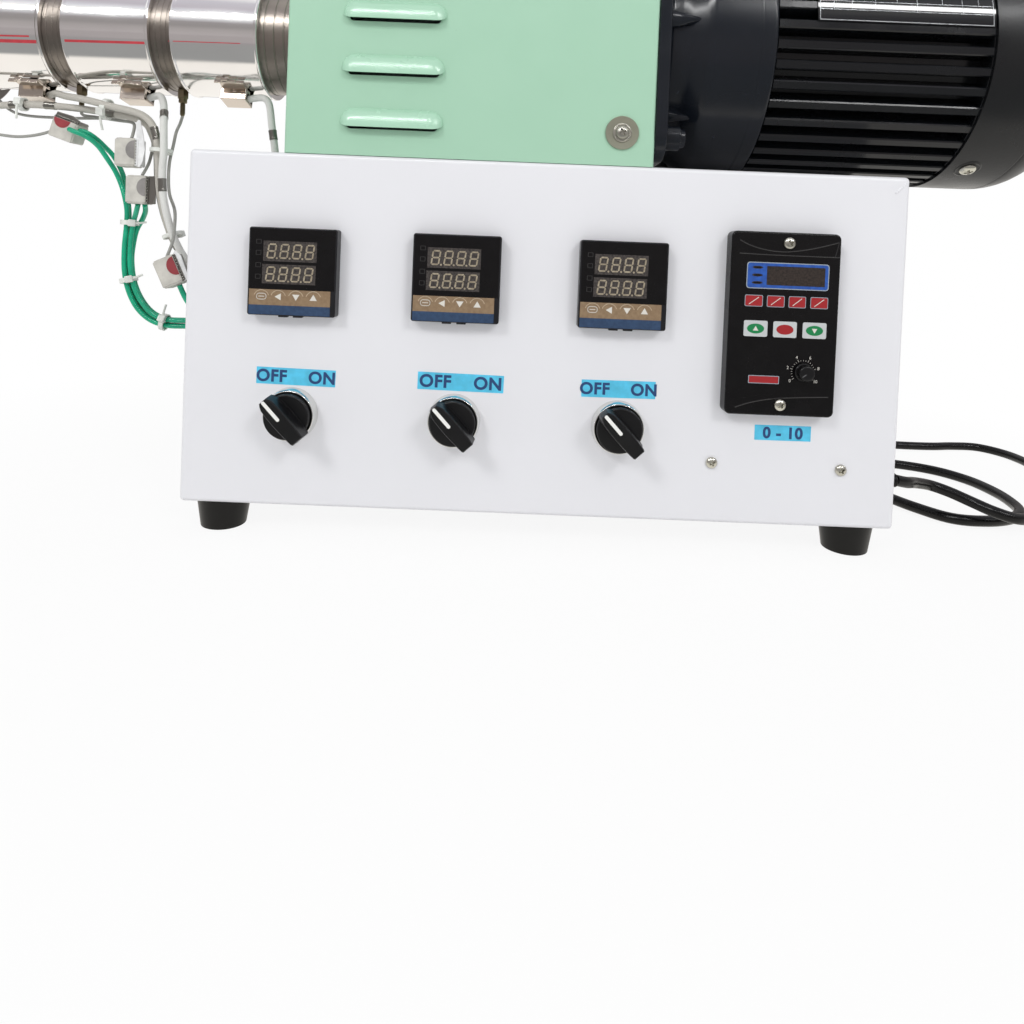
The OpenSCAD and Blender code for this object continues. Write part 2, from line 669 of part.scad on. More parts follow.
module die_head() {
    color("gray") difference() {
        turned([[die_x0, 0], [die_x0, die_r], [barrel_x0 - die_collar_l, die_r],
            [barrel_x0 - die_collar_l, die_collar_r], [barrel_x0, die_collar_r], [barrel_x0, 0]]);
        along_x(die_x0 - cut, nozzle_r - 2, 12 + cut, 0, axis_z);
        along_x(die_x0, nozzle_bore * 3, die_l + die_collar_l + cut, 0, axis_z);
    }
}

module die_heater_band() {
    x1 = barrel_x0 - die_collar_l - die_gap;
    color("silver") difference() {
        union() {
            along_x(x1 - die_band_w, die_r + band_t, die_band_w, 0, axis_z);
            band_box(x1 - 1, die_r + band_t, die_box_angle);
        }
        along_x(x1 - die_band_w - cut, die_r + seat_gap, die_band_w + 2 * cut, 0, axis_z);
        around_axis(x1, 200) translate([-die_band_w - cut, -die_r - band_t - cut, -1])
            cube([die_band_w + 2 * cut, band_t + 2 * cut, 2]);
    }
}

module die_nozzle() {
    color("goldenrod") difference() {
        union() {
            along_x(die_x0 - nozzle_l, nozzle_r - 3, 8, 0, axis_z);
            translate([die_x0 - nozzle_l + 8, 0, axis_z]) rotate([0, 90, 0]) cylinder(r = nozzle_r, h = nozzle_l - 8, $fn = 6);
            along_x(die_x0, nozzle_r - 2 - seat_gap, 11, 0, axis_z);
        }
        along_x(die_x0 - nozzle_l - cut, nozzle_bore, nozzle_l + 12 + 2 * cut, 0, axis_z);
    }
}

module die_bolts() {
    color("dimgray") for (k = [0 : 5]) around_axis(barrel_x0 - die_collar_l - 5, k * 60)
        translate([0, -die_collar_r + 6, 0]) rotate([0, 90, 0]) cylinder(r = 4, h = 5);
}

// A thermocouple that stands on a surface of radius r, at an angle below the front
module probe(x, r, angle) {
    around_axis(x, angle) translate([0, -r, 0]) rotate([90, 0, 0]) {
        cylinder(r = probe_nut_r, h = 6, $fn = 6);
        cylinder(r = probe_r, h = probe_l);
    }
}

module thermocouples() {
    color("goldenrod") {
        probe(barrel_probe_x, barrel_r, 90);
        probe(barrel_probe_x - band_pitch, barrel_r, 90);
        probe(die_probe_x, die_r, 90);
        probe(die_probe_x, die_r, rear_probe_angle);
    }
}

module wire_connector(i) {
    color("ivory") translate(connector_at[i])
        rotate([0, connector_lean[i], connector_turn[i]])
            cube(connector_size, center = true);
}

module heater_leads() {
    color("gainsboro") {
        tube(route_lead_1, lead_d, 6, [0, 1, 0]);
        tube(route_lead_2, lead_d, 9, [0, 1, 0]);
        tube(route_lead_3, lead_d, 9, [0, 1, 0]);
        tube(route_lead_4, lead_d, 9, [0, 1, 0]);
    }
}

module thermocouple_leads() {
    color("gray") {
        tube(route_couple_1, couple_d, 7, [0, 1, 0]);
        tube(route_couple_2, couple_d, 7, [0, 1, 0]);
        tube(route_couple_3, couple_d, 7, [0, 1, 0]);
        tube(route_couple_4, couple_d, 9, [0, 1, 0]);
    }
}

module green_leads() {
    color("seagreen") {
        tube(route_green_1, green_d, 8, [0, 1, 0]);
        tube(route_green_2, green_d, 8, [0, 1, 0]);
        tube(route_green_3, green_d, 8, [0, 1, 0]);
        tube(route_green_4, green_d, 8, [0, 1, 0]);
        tube(route_green_5, green_d, 8, [0, 1, 0]);
    }
}

module side_grommet() {
    color("dimgray") union() {
        translate([entry_x, grommet_y[0], grommet_z[0]])
            cube([-entry_x + left_x, grommet_y[1] - grommet_y[0], grommet_z[1] - grommet_z[0]]);
        translate([left_x, grommet_y[0] + 2.2, grommet_z[0] + 2.2])
            cube([sheet_t + 2, grommet_y[1] - grommet_y[0] - 4.4, grommet_z[1] - grommet_z[0] - 4.4]);
    }
}

module top_gland() {
    color("dimgray") translate([top_entry[0], top_entry[1], top_z]) {
        cylinder(r = 7, h = 4);
        translate([0, 0, -sheet_t - 3]) cylinder(r = 4 - seat_gap, h = sheet_t + 3);
    }
}

module cord_gland() {
    color("black") {
        translate([-left_x, gland_y, gland_z]) rotate([0, 90, 0]) cylinder(r1 = gland_r, r2 = gland_tip_r, h = gland_l);
        along_x(-left_x - sheet_t - 6, gland_r - 1.5 - seat_gap, sheet_t + 6, gland_y, gland_z);
    }
}

module power_cord() {
    color("black") tube(route_cord, cord_d, 24, [0, 0, 1], 8);
}

module power_plug() {
    end = route_cord[len(route_cord) - 1];
    color("black") union() {
        translate([end[0] - plug_size[0], end[1] - plug_size[1] / 2, 1]) cube(plug_size);
        for (q = [[-9, 0], [9, 0], [0, 5]])
            translate([end[0] - plug_size[0] - pin_size[0] + cut, end[1] + q[0] - pin_size[1] / 2, end[2] + q[1] - pin_size[2] / 2])
                cube(pin_size);
    }
}

// The modules above place everything about the middle of the cabinet; this moves it to the front left foot
translate([cabinet_w / 2 - foot_inset, cabinet_d / 2 - foot_inset, 0]) {
    cabinet_shell();
    cabinet_base();
    cabinet_back();
    rubber_feet();
    temperature_controller(0);  // temperature_controller_1
    temperature_controller(1);  // temperature_controller_2
    temperature_controller(2);  // temperature_controller_3
    switch_bezel(0);  // switch_bezel_1
    switch_bezel(1);  // switch_bezel_2
    switch_bezel(2);  // switch_bezel_3
    switch_handle(0);  // switch_handle_1
    switch_handle(1);  // switch_handle_2
    switch_handle(2);  // switch_handle_3
    speed_controller();
    speed_dial();
    panel_screws();
    housing_cover();
    housing_screws();
    feed_block();
    bearing_housing();
    hopper();
    gearbox_flange();
    gearbox_case();
    gearbox_bolts();
    motor_body();
    fan_cowl();
    cowl_screws();
    cooling_fan();
    motor_nameplate();
    motor_terminal_box();
    barrel();
    heater_band(0);  // heater_band_1
    heater_band(1);  // heater_band_2
    heater_band(2);  // heater_band_3
    die_head();
    die_heater_band();
    die_nozzle();
    die_bolts();
    thermocouples();
    wire_connector(0);  // wire_connector_1
    wire_connector(1);  // wire_connector_2
    wire_connector(2);  // wire_connector_3
    wire_connector(3);  // wire_connector_4
    heater_leads();
    thermocouple_leads();
    green_leads();
    side_grommet();
    top_gland();
    cord_gland();
    power_cord();
    power_plug();
}
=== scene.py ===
"""Looks for the desktop filament extruder. Sizes below are in millimetres about the middle of the cabinet."""
import math

import bpy
import bmesh
from mathutils import Euler, Matrix, Vector


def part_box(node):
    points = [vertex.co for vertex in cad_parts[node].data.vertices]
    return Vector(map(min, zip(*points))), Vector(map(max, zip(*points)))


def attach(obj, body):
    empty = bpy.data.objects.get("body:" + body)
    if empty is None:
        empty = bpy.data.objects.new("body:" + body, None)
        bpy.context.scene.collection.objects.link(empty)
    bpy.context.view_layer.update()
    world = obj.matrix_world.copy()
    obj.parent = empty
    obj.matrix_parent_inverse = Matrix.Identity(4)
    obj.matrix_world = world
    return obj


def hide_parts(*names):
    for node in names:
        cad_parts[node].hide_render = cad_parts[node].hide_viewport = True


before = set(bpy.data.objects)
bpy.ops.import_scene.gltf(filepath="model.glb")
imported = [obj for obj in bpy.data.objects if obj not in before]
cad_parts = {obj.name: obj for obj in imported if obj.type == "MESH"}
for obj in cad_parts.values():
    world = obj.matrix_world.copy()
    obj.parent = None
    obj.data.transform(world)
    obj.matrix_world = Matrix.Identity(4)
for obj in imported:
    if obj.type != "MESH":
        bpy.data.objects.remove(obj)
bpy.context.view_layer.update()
shell_low, shell_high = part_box("cabinet_shell")
MIDDLE = (shell_low + shell_high) / 2
PLACE = Matrix.Translation((MIDDLE.x, MIDDLE.y, 0)) @ Matrix.Scale(0.001, 4)
HERE = Matrix.Identity(4)


def metres(p):
    """A point in millimetres about the cabinet's middle, in the row frame in metres."""
    return PLACE @ Vector(p)


def cad_corners(node):
    """The low and the high corner of a CAD node's box, in millimetres about the cabinet's middle."""
    return [tuple(round(c, 2) for c in PLACE.inverted() @ corner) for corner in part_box(node)]


def cad_middle(node):
    """The middle of a CAD node's box, in millimetres about the cabinet's middle."""
    return [round((low + high) / 2, 1) for low, high in zip(*cad_corners(node))]


(_, FRONT_Y, LOW_Z), (HALF_W, HALF_D, TOP_Z) = cad_corners("cabinet_shell")
AXIS_Z = cad_middle("gearbox_flange")[2]


# Materials

def srgb(r, g, b):
    """A colour as seen on a screen, 0 to 255, in linear numbers."""
    made = []
    for c in (r / 255, g / 255, b / 255):
        made.append(c / 12.92 if c <= 0.04045 else ((c + 0.055) / 1.055) ** 2.4)
    return tuple(made)


def material(name, colour, rough=0.5, metal=0.0, **sockets):
    m = bpy.data.materials.new(name)
    m.use_nodes = True
    shader = m.node_tree.nodes["Principled BSDF"]
    shader.inputs["Base Color"].default_value = (*colour, 1)
    shader.inputs["Roughness"].default_value = rough
    shader.inputs["Metallic"].default_value = metal
    for key, value in sockets.items():
        shader.inputs[key.replace("_", " ")].default_value = value
    return m


def shader_of(m):
    return m.node_tree.nodes["Principled BSDF"]


def coords(m, kind="Object", scale=(1, 1, 1)):
    """Texture coordinates of a material, stretched by scale."""
    nodes, links = m.node_tree.nodes, m.node_tree.links
    where = nodes.new("ShaderNodeTexCoord")
    stretch = nodes.new("ShaderNodeMapping")
    stretch.inputs["Scale"].default_value = scale
    links.new(where.outputs[kind], stretch.inputs["Vector"])
    return stretch.outputs["Vector"]


def noise(m, scale, detail=4, vector=None):
    nodes, links = m.node_tree.nodes, m.node_tree.links
    n = nodes.new("ShaderNodeTexNoise")
    n.inputs["Scale"].default_value = scale
    n.inputs["Detail"].default_value = detail
    links.new(vector or coords(m), n.inputs["Vector"])
    return n.outputs["Fac"]


def ramp(tree, factor, stops):
    """A colour ramp over factor; stops are (place, colour)."""
    r = tree.nodes.new("ShaderNodeValToRGB")
    while len(r.color_ramp.elements) < len(stops):
        r.color_ramp.elements.new(0.5)
    for e, (at, colour) in zip(r.color_ramp.elements, stops):
        e.position = at
        e.color = (*colour, 1)
    tree.links.new(factor, r.inputs["Fac"])
    return r.outputs["Color"]


def spread(tree, value, start, end, low=0.0, high=1.0):
    """From low to high as value goes from start to end."""
    r = tree.nodes.new("ShaderNodeMapRange")
    for key, setting in (("From Min", start), ("From Max", end), ("To Min", low), ("To Max", high)):
        r.inputs[key].default_value = setting
    tree.links.new(value, r.inputs["Value"])
    return r.outputs["Result"]


def grey(v):
    return (v, v, v)


def colour_by(m, factor, stops):
    m.node_tree.links.new(ramp(m.node_tree, factor, stops), shader_of(m).inputs["Base Color"])


def rough_by(m, factor, low, high, start=0.35, end=0.65):
    """Roughness from low to high as factor goes from start to end."""
    rough = spread(m.node_tree, factor, start, end, low, high)
    m.node_tree.links.new(rough, shader_of(m).inputs["Roughness"])


def bump(m, height, strength, distance):
    """Adds a bump over the material's earlier ones. distance is in metres."""
    nodes, links = m.node_tree.nodes, m.node_tree.links
    b = nodes.new("ShaderNodeBump")
    b.inputs["Strength"].default_value = strength
    b.inputs["Distance"].default_value = distance
    links.new(height, b.inputs["Height"])
    socket = shader_of(m).inputs["Normal"]
    if socket.is_linked:
        links.new(socket.links[0].from_socket, b.inputs["Normal"])
    links.new(b.outputs["Normal"], socket)


def tinted(colour, share):
    return tuple(c * share for c in colour)


def painted(name, colour, rough, peel, spots, spot_share=0.55, variation=0.03, shine=0.5):
    """Powder coat or enamel: orange peel, a slow drift of colour and a few small spots."""
    m = material(name, colour, rough, Specular_IOR_Level=shine)
    tree = m.node_tree
    body = ramp(tree, noise(m, 9, 3), [(0.35, tinted(colour, 1 - variation)), (0.65, colour)])
    mask = ramp(tree, noise(m, 210, 2), [(spots, grey(0)), (spots + 0.02, grey(1))])
    mix = tree.nodes.new("ShaderNodeMix")
    mix.data_type = "RGBA"
    tree.links.new(mask, mix.inputs["Factor"])
    tree.links.new(body, mix.inputs["A"])
    mix.inputs["B"].default_value = (*tinted(colour, spot_share), 1)
    tree.links.new(mix.outputs["Result"], shader_of(m).inputs["Base Color"])
    rough_by(m, noise(m, 38, 4), rough - 0.05, rough + 0.07)
    bump(m, noise(m, 620, 2), peel, 0.00012)
    bump(m, noise(m, 26, 2), 0.25, 0.0006)
    return m


def plastic(name, colour, rough, grain=0.25, scale=1500, shine=0.5):
    m = material(name, colour, rough, Specular_IOR_Level=shine)
    colour_by(m, noise(m, 160, 4), [(0.3, tinted(colour, 0.85)), (0.7, tinted(colour, 1.15))])
    rough_by(m, noise(m, 60, 3), rough - 0.04, rough + 0.08)
    bump(m, noise(m, scale, 2), grain, 0.00006)
    return m


ALONG = {"X": (1, 0.015, 0.015), "Y": (0.015, 1, 0.015), "Z": (0.015, 0.015, 1), "none": (1, 1, 1)}


def steel(name, colour, rough, along="X", lines=2600, depth=0.2, tarnish=0.82):
    """Worked metal: fine lines across one direction, a little tarnish and smears."""
    m = material(name, colour, rough, 1.0)
    fine = noise(m, lines, 3, coords(m, scale=ALONG[along]))
    smear = noise(m, 45, 5, coords(m, scale=(0.5, 1, 1)))
    colour_by(m, smear, [(0.3, tinted(colour, tarnish)), (0.62, colour)])
    rough_by(m, smear, rough + 0.1, rough - 0.03, 0.3, 0.7)
    bump(m, fine, depth, 0.00003)
    return m


WHITE = painted("panel_white", srgb(231, 231, 235), 0.36, 0.12, 0.80, 0.9, 0.012)
GREEN = painted("green_paint", srgb(165, 206, 180), 0.36, 0.14, 0.80, 0.9, 0.012)
# The louvre hoods: the sheet's green paint a little lighter, as a painted highlight, and less rough.
HOOD_LIT = painted("green_paint_painted_highlight", srgb(172, 214, 188), 0.24, 0.5, 0.80, 0.9, 0.012, 0.7)
ENAMEL = painted("motor_black", srgb(22, 26, 33), 0.20, 0.10, 0.76, 2.0, 0.2, 0.36)
FIN_BLACK = painted("fin_black", srgb(17, 19, 22), 0.22, 0.10, 0.79, 1.6, 0.2, 0.40)
COWL = painted("cowl_black", srgb(22, 23, 25), 0.30, 0.35, 0.80, 1.6, 0.15, 0.34)
CAST = painted("cast_grey", srgb(120, 121, 124), 0.5, 0.9, 0.75, 0.7, 0.2)
RUBBER = plastic("feet_rubber", srgb(9, 9, 9), 0.34, 0.2, 900, 0.26)
BLACK = plastic("black_plastic", srgb(22, 22, 24), 0.38, 0.25, 1500, 0.4)
KNOB = plastic("knob_plastic", srgb(14, 14, 16), 0.36, 0.3, 1800, 0.34)
FILM = plastic("face_film", srgb(15, 14, 15), 0.22, 0.06, 1500, 0.22)
GLOSS = plastic("moulded_line", srgb(26, 26, 28), 0.16, 0.02, 900, 0.8)
CHROME = steel("bezel_chrome", srgb(225, 225, 222), 0.12, "none", 900, 0.03, 0.95)
ZINC = steel("zinc_steel", srgb(205, 203, 192), 0.26, "none", 1400, 0.25, 0.72)
BARREL = steel("barrel_steel", srgb(152, 144, 136), 0.30, "X", 2200, 0.5, 0.62)
BAND = steel("band_steel", srgb(246, 244, 243), 0.055, "none", 120, 0.05, 0.955)
BOX = steel("box_steel", srgb(214, 203, 192), 0.20, "Z", 1500, 0.12, 0.88)
HOPPER = steel("hopper_steel", srgb(205, 205, 205), 0.26, "Z", 1800, 0.35, 0.9)
DIE = steel("die_steel", srgb(150, 146, 140), 0.32, "X", 2000, 0.4, 0.7)
BRASS = steel("brass", srgb(168, 148, 98), 0.32, "none", 900, 0.2, 0.7)
IVORY = plastic("connector_ivory", srgb(198, 195, 187), 0.55, 0.3, 900)
NYLON = plastic("tie_nylon", srgb(226, 228, 222), 0.42, 0.1, 900)
GREEN_WIRE = plastic("green_wire", srgb(20, 168, 128), 0.24, 0.05, 700)
CABLE = plastic("cord_black", srgb(8, 8, 9), 0.25, 0.06, 700, 0.25)
GROMMET = plastic("dark_rubber", srgb(34, 34, 34), 0.5)
RED = plastic("signal_red", srgb(152, 58, 64), 0.4)
STICKER = plastic("sticker_blue", srgb(84, 196, 232), 0.45, 0.1, 500)
INK = material("ink_navy", srgb(33, 66, 118), 0.5)
PRINT_DIM = plastic("print_grey", srgb(96, 96, 98), 0.5)
# A near-black for painted shade in slots; no piece uses it.
SHADE_BLACK = material("painted_shade_black", (0.003, 0.004, 0.004), 0.8)
colour_by(SHADE_BLACK, noise(SHADE_BLACK, 40), [(0.3, grey(0.002)), (0.7, grey(0.005))])
PLATE = material("nameplate_black", srgb(9, 9, 12), 0.05, Specular_IOR_Level=0.5)
bump(PLATE, noise(PLATE, 12, 1), 0.02, 0.0006)
SILVER = material("plate_silver", srgb(150, 152, 154), 0.3, 0.6)
rough_by(SILVER, noise(SILVER, 300), 0.25, 0.45)
RED_LINE = plastic("red_line", srgb(186, 52, 62), 0.5)
PROBE = steel("probe_metal", srgb(140, 128, 104), 0.34, "none", 900, 0.2, 0.6)
WASHER = steel("washer_steel", srgb(196, 198, 178), 0.30, "X", 900, 0.5, 0.66)
FERRULE = steel("ferrule_steel", srgb(148, 146, 140), 0.28, "none", 700, 0.2, 0.7)
DULL_GREY = plastic("window_grey", srgb(140, 136, 134), 0.55)
SHINE = plastic("connector_white", srgb(232, 232, 232), 0.4, 0.1)
CASE = plastic("case_plastic", srgb(24, 24, 28), 0.34, 0.25, 1600, 0.35)
PRINT = material("print_white", srgb(216, 212, 204), 0.5)
PRINT_SOFT = material("print_soft", srgb(192, 172, 146), 0.5)
PRINT_WHITE = material("pointer_white", srgb(236, 236, 232), 0.45)
PRINT_RED = material("print_red", srgb(160, 28, 34), 0.35)
PRINT_GREEN = material("print_green", srgb(12, 128, 72), 0.35)
KEY_GREY = material("print_key_grey", srgb(194, 197, 198), 0.4)
FRAME_GREY = material("print_frame_grey", srgb(150, 160, 170), 0.45)
FAINT = material("indicator_window", srgb(36, 35, 35), 0.3)


def printed(name, colour, rough, low, high, scale, detail=2, start=0.3):
    """A print or a window whose colour drifts from low to high over fine noise."""
    m = material(name, srgb(*colour), rough)
    colour_by(m, noise(m, scale, detail), [(start, srgb(*low)), (1 - start, srgb(*high))])
    return m


WINDOW = printed("display_window", (60, 56, 55), 0.22, (48, 44, 43), (76, 71, 68), 900, 3, 0.35)
SEGMENT = printed("display_segment", (160, 148, 126), 0.45, (138, 126, 106), (168, 156, 134), 700, 2, 0.35)
TAN = printed("strip_tan", (138, 115, 88), 0.32, (132, 108, 82), (146, 123, 95), 500)
NAVY = printed("strip_navy", (44, 68, 100), 0.30, (39, 61, 91), (49, 74, 107), 500)
BLUE_FRAME = printed("frame_blue", (32, 82, 168), 0.35, (27, 72, 152), (36, 90, 180), 400)
LCD = printed("speed_window", (34, 28, 25), 0.3, (34, 27, 24), (58, 48, 42), 900, 3, 0.35)


def sleeve(name, light, dark, turns, along, bump_depth):
    """A braided sleeve, from a tube's UV: turns strands round it, and along strands a metre."""
    m = material(name, light, 0.62, Sheen_Weight=0.15)
    nodes, links = m.node_tree.nodes, m.node_tree.links
    uv = coords(m, "UV", (turns, along, 1))
    weave = []
    for angle in (0.785, -0.785):
        turn = nodes.new("ShaderNodeVectorRotate")
        turn.rotation_type = "Z_AXIS"
        turn.inputs["Angle"].default_value = angle
        links.new(uv, turn.inputs["Vector"])
        wave = nodes.new("ShaderNodeTexWave")
        wave.inputs["Scale"].default_value = 0.35
        links.new(turn.outputs["Vector"], wave.inputs["Vector"])
        weave.append(wave.outputs["Fac"])
    both = nodes.new("ShaderNodeMath")
    both.operation = "MAXIMUM"
    links.new(weave[0], both.inputs[0])
    links.new(weave[1], both.inputs[1])
    colour_by(m, both.outputs["Value"], [(0.35, dark), (0.8, light)])
    bump(m, both.outputs["Value"], 0.5, bump_depth)
    return m


SLEEVE = sleeve("lead_sleeve", srgb(236, 236, 232), srgb(204, 204, 199), 16, 3600, 0.0002)
SLEEVE_DARK = sleeve("lead_sleeve_grey", srgb(206, 202, 193), srgb(162, 158, 149), 16, 3600, 0.0002)
SHEATH = sleeve("couple_sheath", srgb(176, 176, 170), srgb(118, 118, 114), 8, 5200, 0.00012)


# Shapes

def add(name, data):
    """A new object with this data, linked to the scene."""
    o = bpy.data.objects.new(name, data)
    bpy.context.scene.collection.objects.link(o)
    return o


def mesh_of(bm, name):
    """Turns a bmesh into a mesh."""
    mesh = bpy.data.meshes.new(name)
    bm.to_mesh(mesh)
    bm.free()
    return mesh


def polar(r, degrees, x=0.0, y=0.0):
    """A point r from (x, y), at an angle."""
    a = math.radians(degrees)
    return (x + r * math.cos(a), y + r * math.sin(a))


def skin_rings(bm, rings, around):
    """Faces between rings of as many vertices each; around closes each ring on itself."""
    for a, b in zip(rings, rings[1:]):
        for k in range(len(a) if around else len(a) - 1):
            j = (k + 1) % len(a)
            bm.faces.new((a[k], a[j], b[j], b[k]))


def lathe(profile, n=64, closed=False):
    """Turns profile, a list of (radius, height), about local Z."""
    bm = bmesh.new()
    rings = []
    for r, h in profile:
        if r < 1e-6:
            rings.append([bm.verts.new((0, 0, h))])
            continue
        turns = [2 * math.pi * k / n for k in range(n)]
        rings.append([bm.verts.new((r * math.cos(a), r * math.sin(a), h)) for a in turns])
    for a, b in zip(rings, rings[1:] + (rings[:1] if closed else [])):
        for k in range(n):
            j = (k + 1) % n
            if len(a) == 1 and len(b) == 1:
                continue
            if len(a) == 1:
                bm.faces.new((a[0], b[j], b[k]))
            elif len(b) == 1:
                bm.faces.new((a[k], a[j], b[0]))
            else:
                bm.faces.new((a[k], a[j], b[j], b[k]))
    bmesh.ops.recalc_face_normals(bm, faces=bm.faces)
    return bm


def rod(r, low, high, n=64):
    """A plain cylinder from low to high on local Z."""
    return lathe([(0, low), (r, low), (r, high), (0, high)], n)


def rounded(profile, radius=0.6, steps=3):
    """Rounds the inner corners of an open profile."""
    made = [profile[0]]
    for a, b, c in zip(profile, profile[1:], profile[2:]):
        va, vc = Vector(a) - Vector(b), Vector(c) - Vector(b)
        r = min(radius, va.length / 2.2, vc.length / 2.2)
        if r < 1e-4:
            made.append(b)
            continue
        start, end = Vector(b) + va.normalized() * r, Vector(b) + vc.normalized() * r
        for k in range(steps + 1):
            t = k / steps
            p = start * (1 - t) ** 2 + Vector(b) * 2 * t * (1 - t) + end * t ** 2
            made.append((p.x, p.y))
    return made + [profile[-1]]


def outline_rect(w, h, r=0.0, n=5, x=0.0, y=0.0):
    """A rectangle's corners, rounded by r, about (x, y)."""
    if r <= 0:
        return [(x + a * w / 2, y + b * h / 2) for a, b in ((-1, -1), (1, -1), (1, 1), (-1, 1))]
    made = []
    for a, b, start in ((1, 1, 0), (-1, 1, 90), (-1, -1, 180), (1, -1, 270)):
        made += arc(x + a * (w / 2 - r), y + b * (h / 2 - r), r, start, start + 90, n)
    return made


def arc(x, y, r, start, end, n=14):
    return [polar(r, start + (end - start) * k / n, x, y) for k in range(n + 1)]


def circle(r, n=32, x=0.0, y=0.0):
    return [polar(r, 360 * k / n, x, y) for k in range(n)]


def oval(w, h, n, x, y):
    return [(x + a * w / 2, y + b * h / 2) for a, b in circle(1, n)]


def prism(points, depth, bevel=0.0, steps=2, all_edges=False):
    """A flat outline in local XY raised to Z = depth, its upper rim bevelled."""
    bm = bmesh.new()
    base = bm.faces.new([bm.verts.new((x, y, 0)) for x, y in points])
    top = bmesh.ops.extrude_face_region(bm, geom=[base])
    verts = [v for v in top["geom"] if isinstance(v, bmesh.types.BMVert)]
    bmesh.ops.translate(bm, verts=verts, vec=(0, 0, depth))
    bmesh.ops.recalc_face_normals(bm, faces=bm.faces)
    if bevel > 0:
        edges = [e for e in bm.edges if all_edges or all(v.co.z > depth - 1e-6 for v in e.verts)]
        bmesh.ops.bevel(bm, geom=edges, offset=bevel, segments=steps, profile=0.5, affect="EDGES")
    return bm


def block(w, d, h, r=0.5, steps=2):
    """A box centred on the origin with all its edges rounded."""
    bm = bmesh.new()
    bmesh.ops.create_cube(bm, size=1)
    bmesh.ops.scale(bm, vec=(w, d, h), verts=bm.verts)
    if r > 0:
        bmesh.ops.bevel(bm, geom=list(bm.edges), offset=r, segments=steps, profile=0.5, affect="EDGES")
    return bm


def joined(*parts):
    """One mesh from several (bmesh, matrix) pairs."""
    whole = bmesh.new()
    for bm, matrix in parts:
        bm.transform(matrix)
        mesh = mesh_of(bm, "part")
        whole.from_mesh(mesh)
        bpy.data.meshes.remove(mesh)
    return whole


def at(x=0.0, y=0.0, z=0.0):
    return Matrix.Translation((x, y, z))


def facing_front(x, y, z):
    """Local XY becomes the XZ plane, and local Z points out of the front."""
    return Matrix(((1, 0, 0, x), (0, 0, -1, y), (0, 1, 0, z), (0, 0, 0, 1)))


def facing_back(x, y, z):
    """Local Z points out of the back, and local X to the left as seen from the front."""
    return Matrix(((-1, 0, 0, x), (0, 0, 1, y), (0, 1, 0, z), (0, 0, 0, 1)))


def along_x(x, y=0.0, z=AXIS_Z):
    """Local Z points along X."""
    return at(x, y, z) @ Matrix.Rotation(math.pi / 2, 4, "Y")


def out_of_axis(x, r, angle):
    """Local Z points away from the screw's axis, angle degrees below the front; the origin is r out."""
    a = math.radians(angle)
    return at(x, -r * math.cos(a), AXIS_Z - r * math.sin(a)) @ Matrix.Rotation(math.pi / 2 + a, 4, "X")


PIECES = []


def piece(name, bm, matrix, mats, body="frame", slot=None, replaces=(), angle=35):
    """Makes an object from a bmesh in millimetres, places it and lets it ride on its body."""
    bm.transform(matrix)
    mesh = mesh_of(bm, name)
    mesh.transform(PLACE)
    for m in mats if isinstance(mats, (list, tuple)) else [mats]:
        mesh.materials.append(m)
    mesh.shade_smooth()
    mesh.set_sharp_from_angle(angle=math.radians(angle))
    o = add(name, mesh)
    PIECES.append(o)
    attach(o, body)
    if replaces:
        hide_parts(*replaces)
    return o


def applied(o):
    """Writes the object's modifiers into its mesh."""
    bpy.context.view_layer.update()
    mesh = bpy.data.meshes.new_from_object(o.evaluated_get(bpy.context.evaluated_depsgraph_get()))
    old = o.data
    o.modifiers.clear()
    o.data = mesh
    mesh.name = o.name
    bpy.data.meshes.remove(old)


def subtract(o, mesh):
    """Cuts a closed mesh out of the object."""
    tool = add("cutter", mesh)
    step = o.modifiers.new("cut", "BOOLEAN")
    step.operation = "DIFFERENCE"
    step.solver = "EXACT"
    step.object = tool
    applied(o)
    bpy.data.objects.remove(tool)


def cut(o, *tools):
    """Cuts (bmesh, matrix) tools, in millimetres, out of a piece."""
    for bm, matrix in tools:
        bm.transform(matrix)
        mesh = mesh_of(bm, "cutter")
        mesh.transform(PLACE)
        subtract(o, mesh)


def spline(p, step):
    """The smooth curve through p, as points about step apart."""
    last = len(p) - 1
    made = []
    for i in range(last):
        a, b, c, d = [Vector(p[k]) for k in (max(i - 1, 0), i, i + 1, min(i + 2, last))]
        n = max(1, round((c - b).length / step))
        for k in range(n):
            u = k / n
            made.append(0.5 * (2 * b + (c - a) * u + (2 * a - 5 * b + 4 * c - d) * u * u
                               + (3 * b - a - 3 * c + d) * u ** 3))
    made.append(Vector(p[-1]))
    return made


def tube_mesh(points, radius, sides=14):
    """A tube along points with a UV of turns and metres."""
    bm = bmesh.new()
    layer = bm.loops.layers.uv.new("UVMap")
    lengths = [0.0]
    for a, b in zip(points, points[1:]):
        lengths.append(lengths[-1] + (b - a).length)
    up = Vector((0.13, 0.98, 0.21)).normalized()
    turns = [2 * math.pi * k / sides for k in range(sides)]
    rings = []
    for i, p in enumerate(points):
        heading = (points[min(i + 1, len(points) - 1)] - points[max(i - 1, 0)]).normalized()
        up = (up - heading * up.dot(heading)).normalized()
        other = heading.cross(up)
        rings.append([bm.verts.new(p + radius * (math.cos(a) * up + math.sin(a) * other)) for a in turns])
    for i in range(len(rings) - 1):
        for k in range(sides):
            j = (k + 1) % sides
            f = bm.faces.new((rings[i][k], rings[i][j], rings[i + 1][j], rings[i + 1][k]))
            for loop, (u, v) in zip(f.loops, ((k, i), (k + 1, i), (k + 1, i + 1), (k, i + 1))):
                loop[layer].uv = (u / sides, lengths[v] / 1000)
    bm.faces.new(list(reversed(rings[0])))
    bm.faces.new(rings[-1])
    bmesh.ops.recalc_face_normals(bm, faces=bm.faces)
    return bm


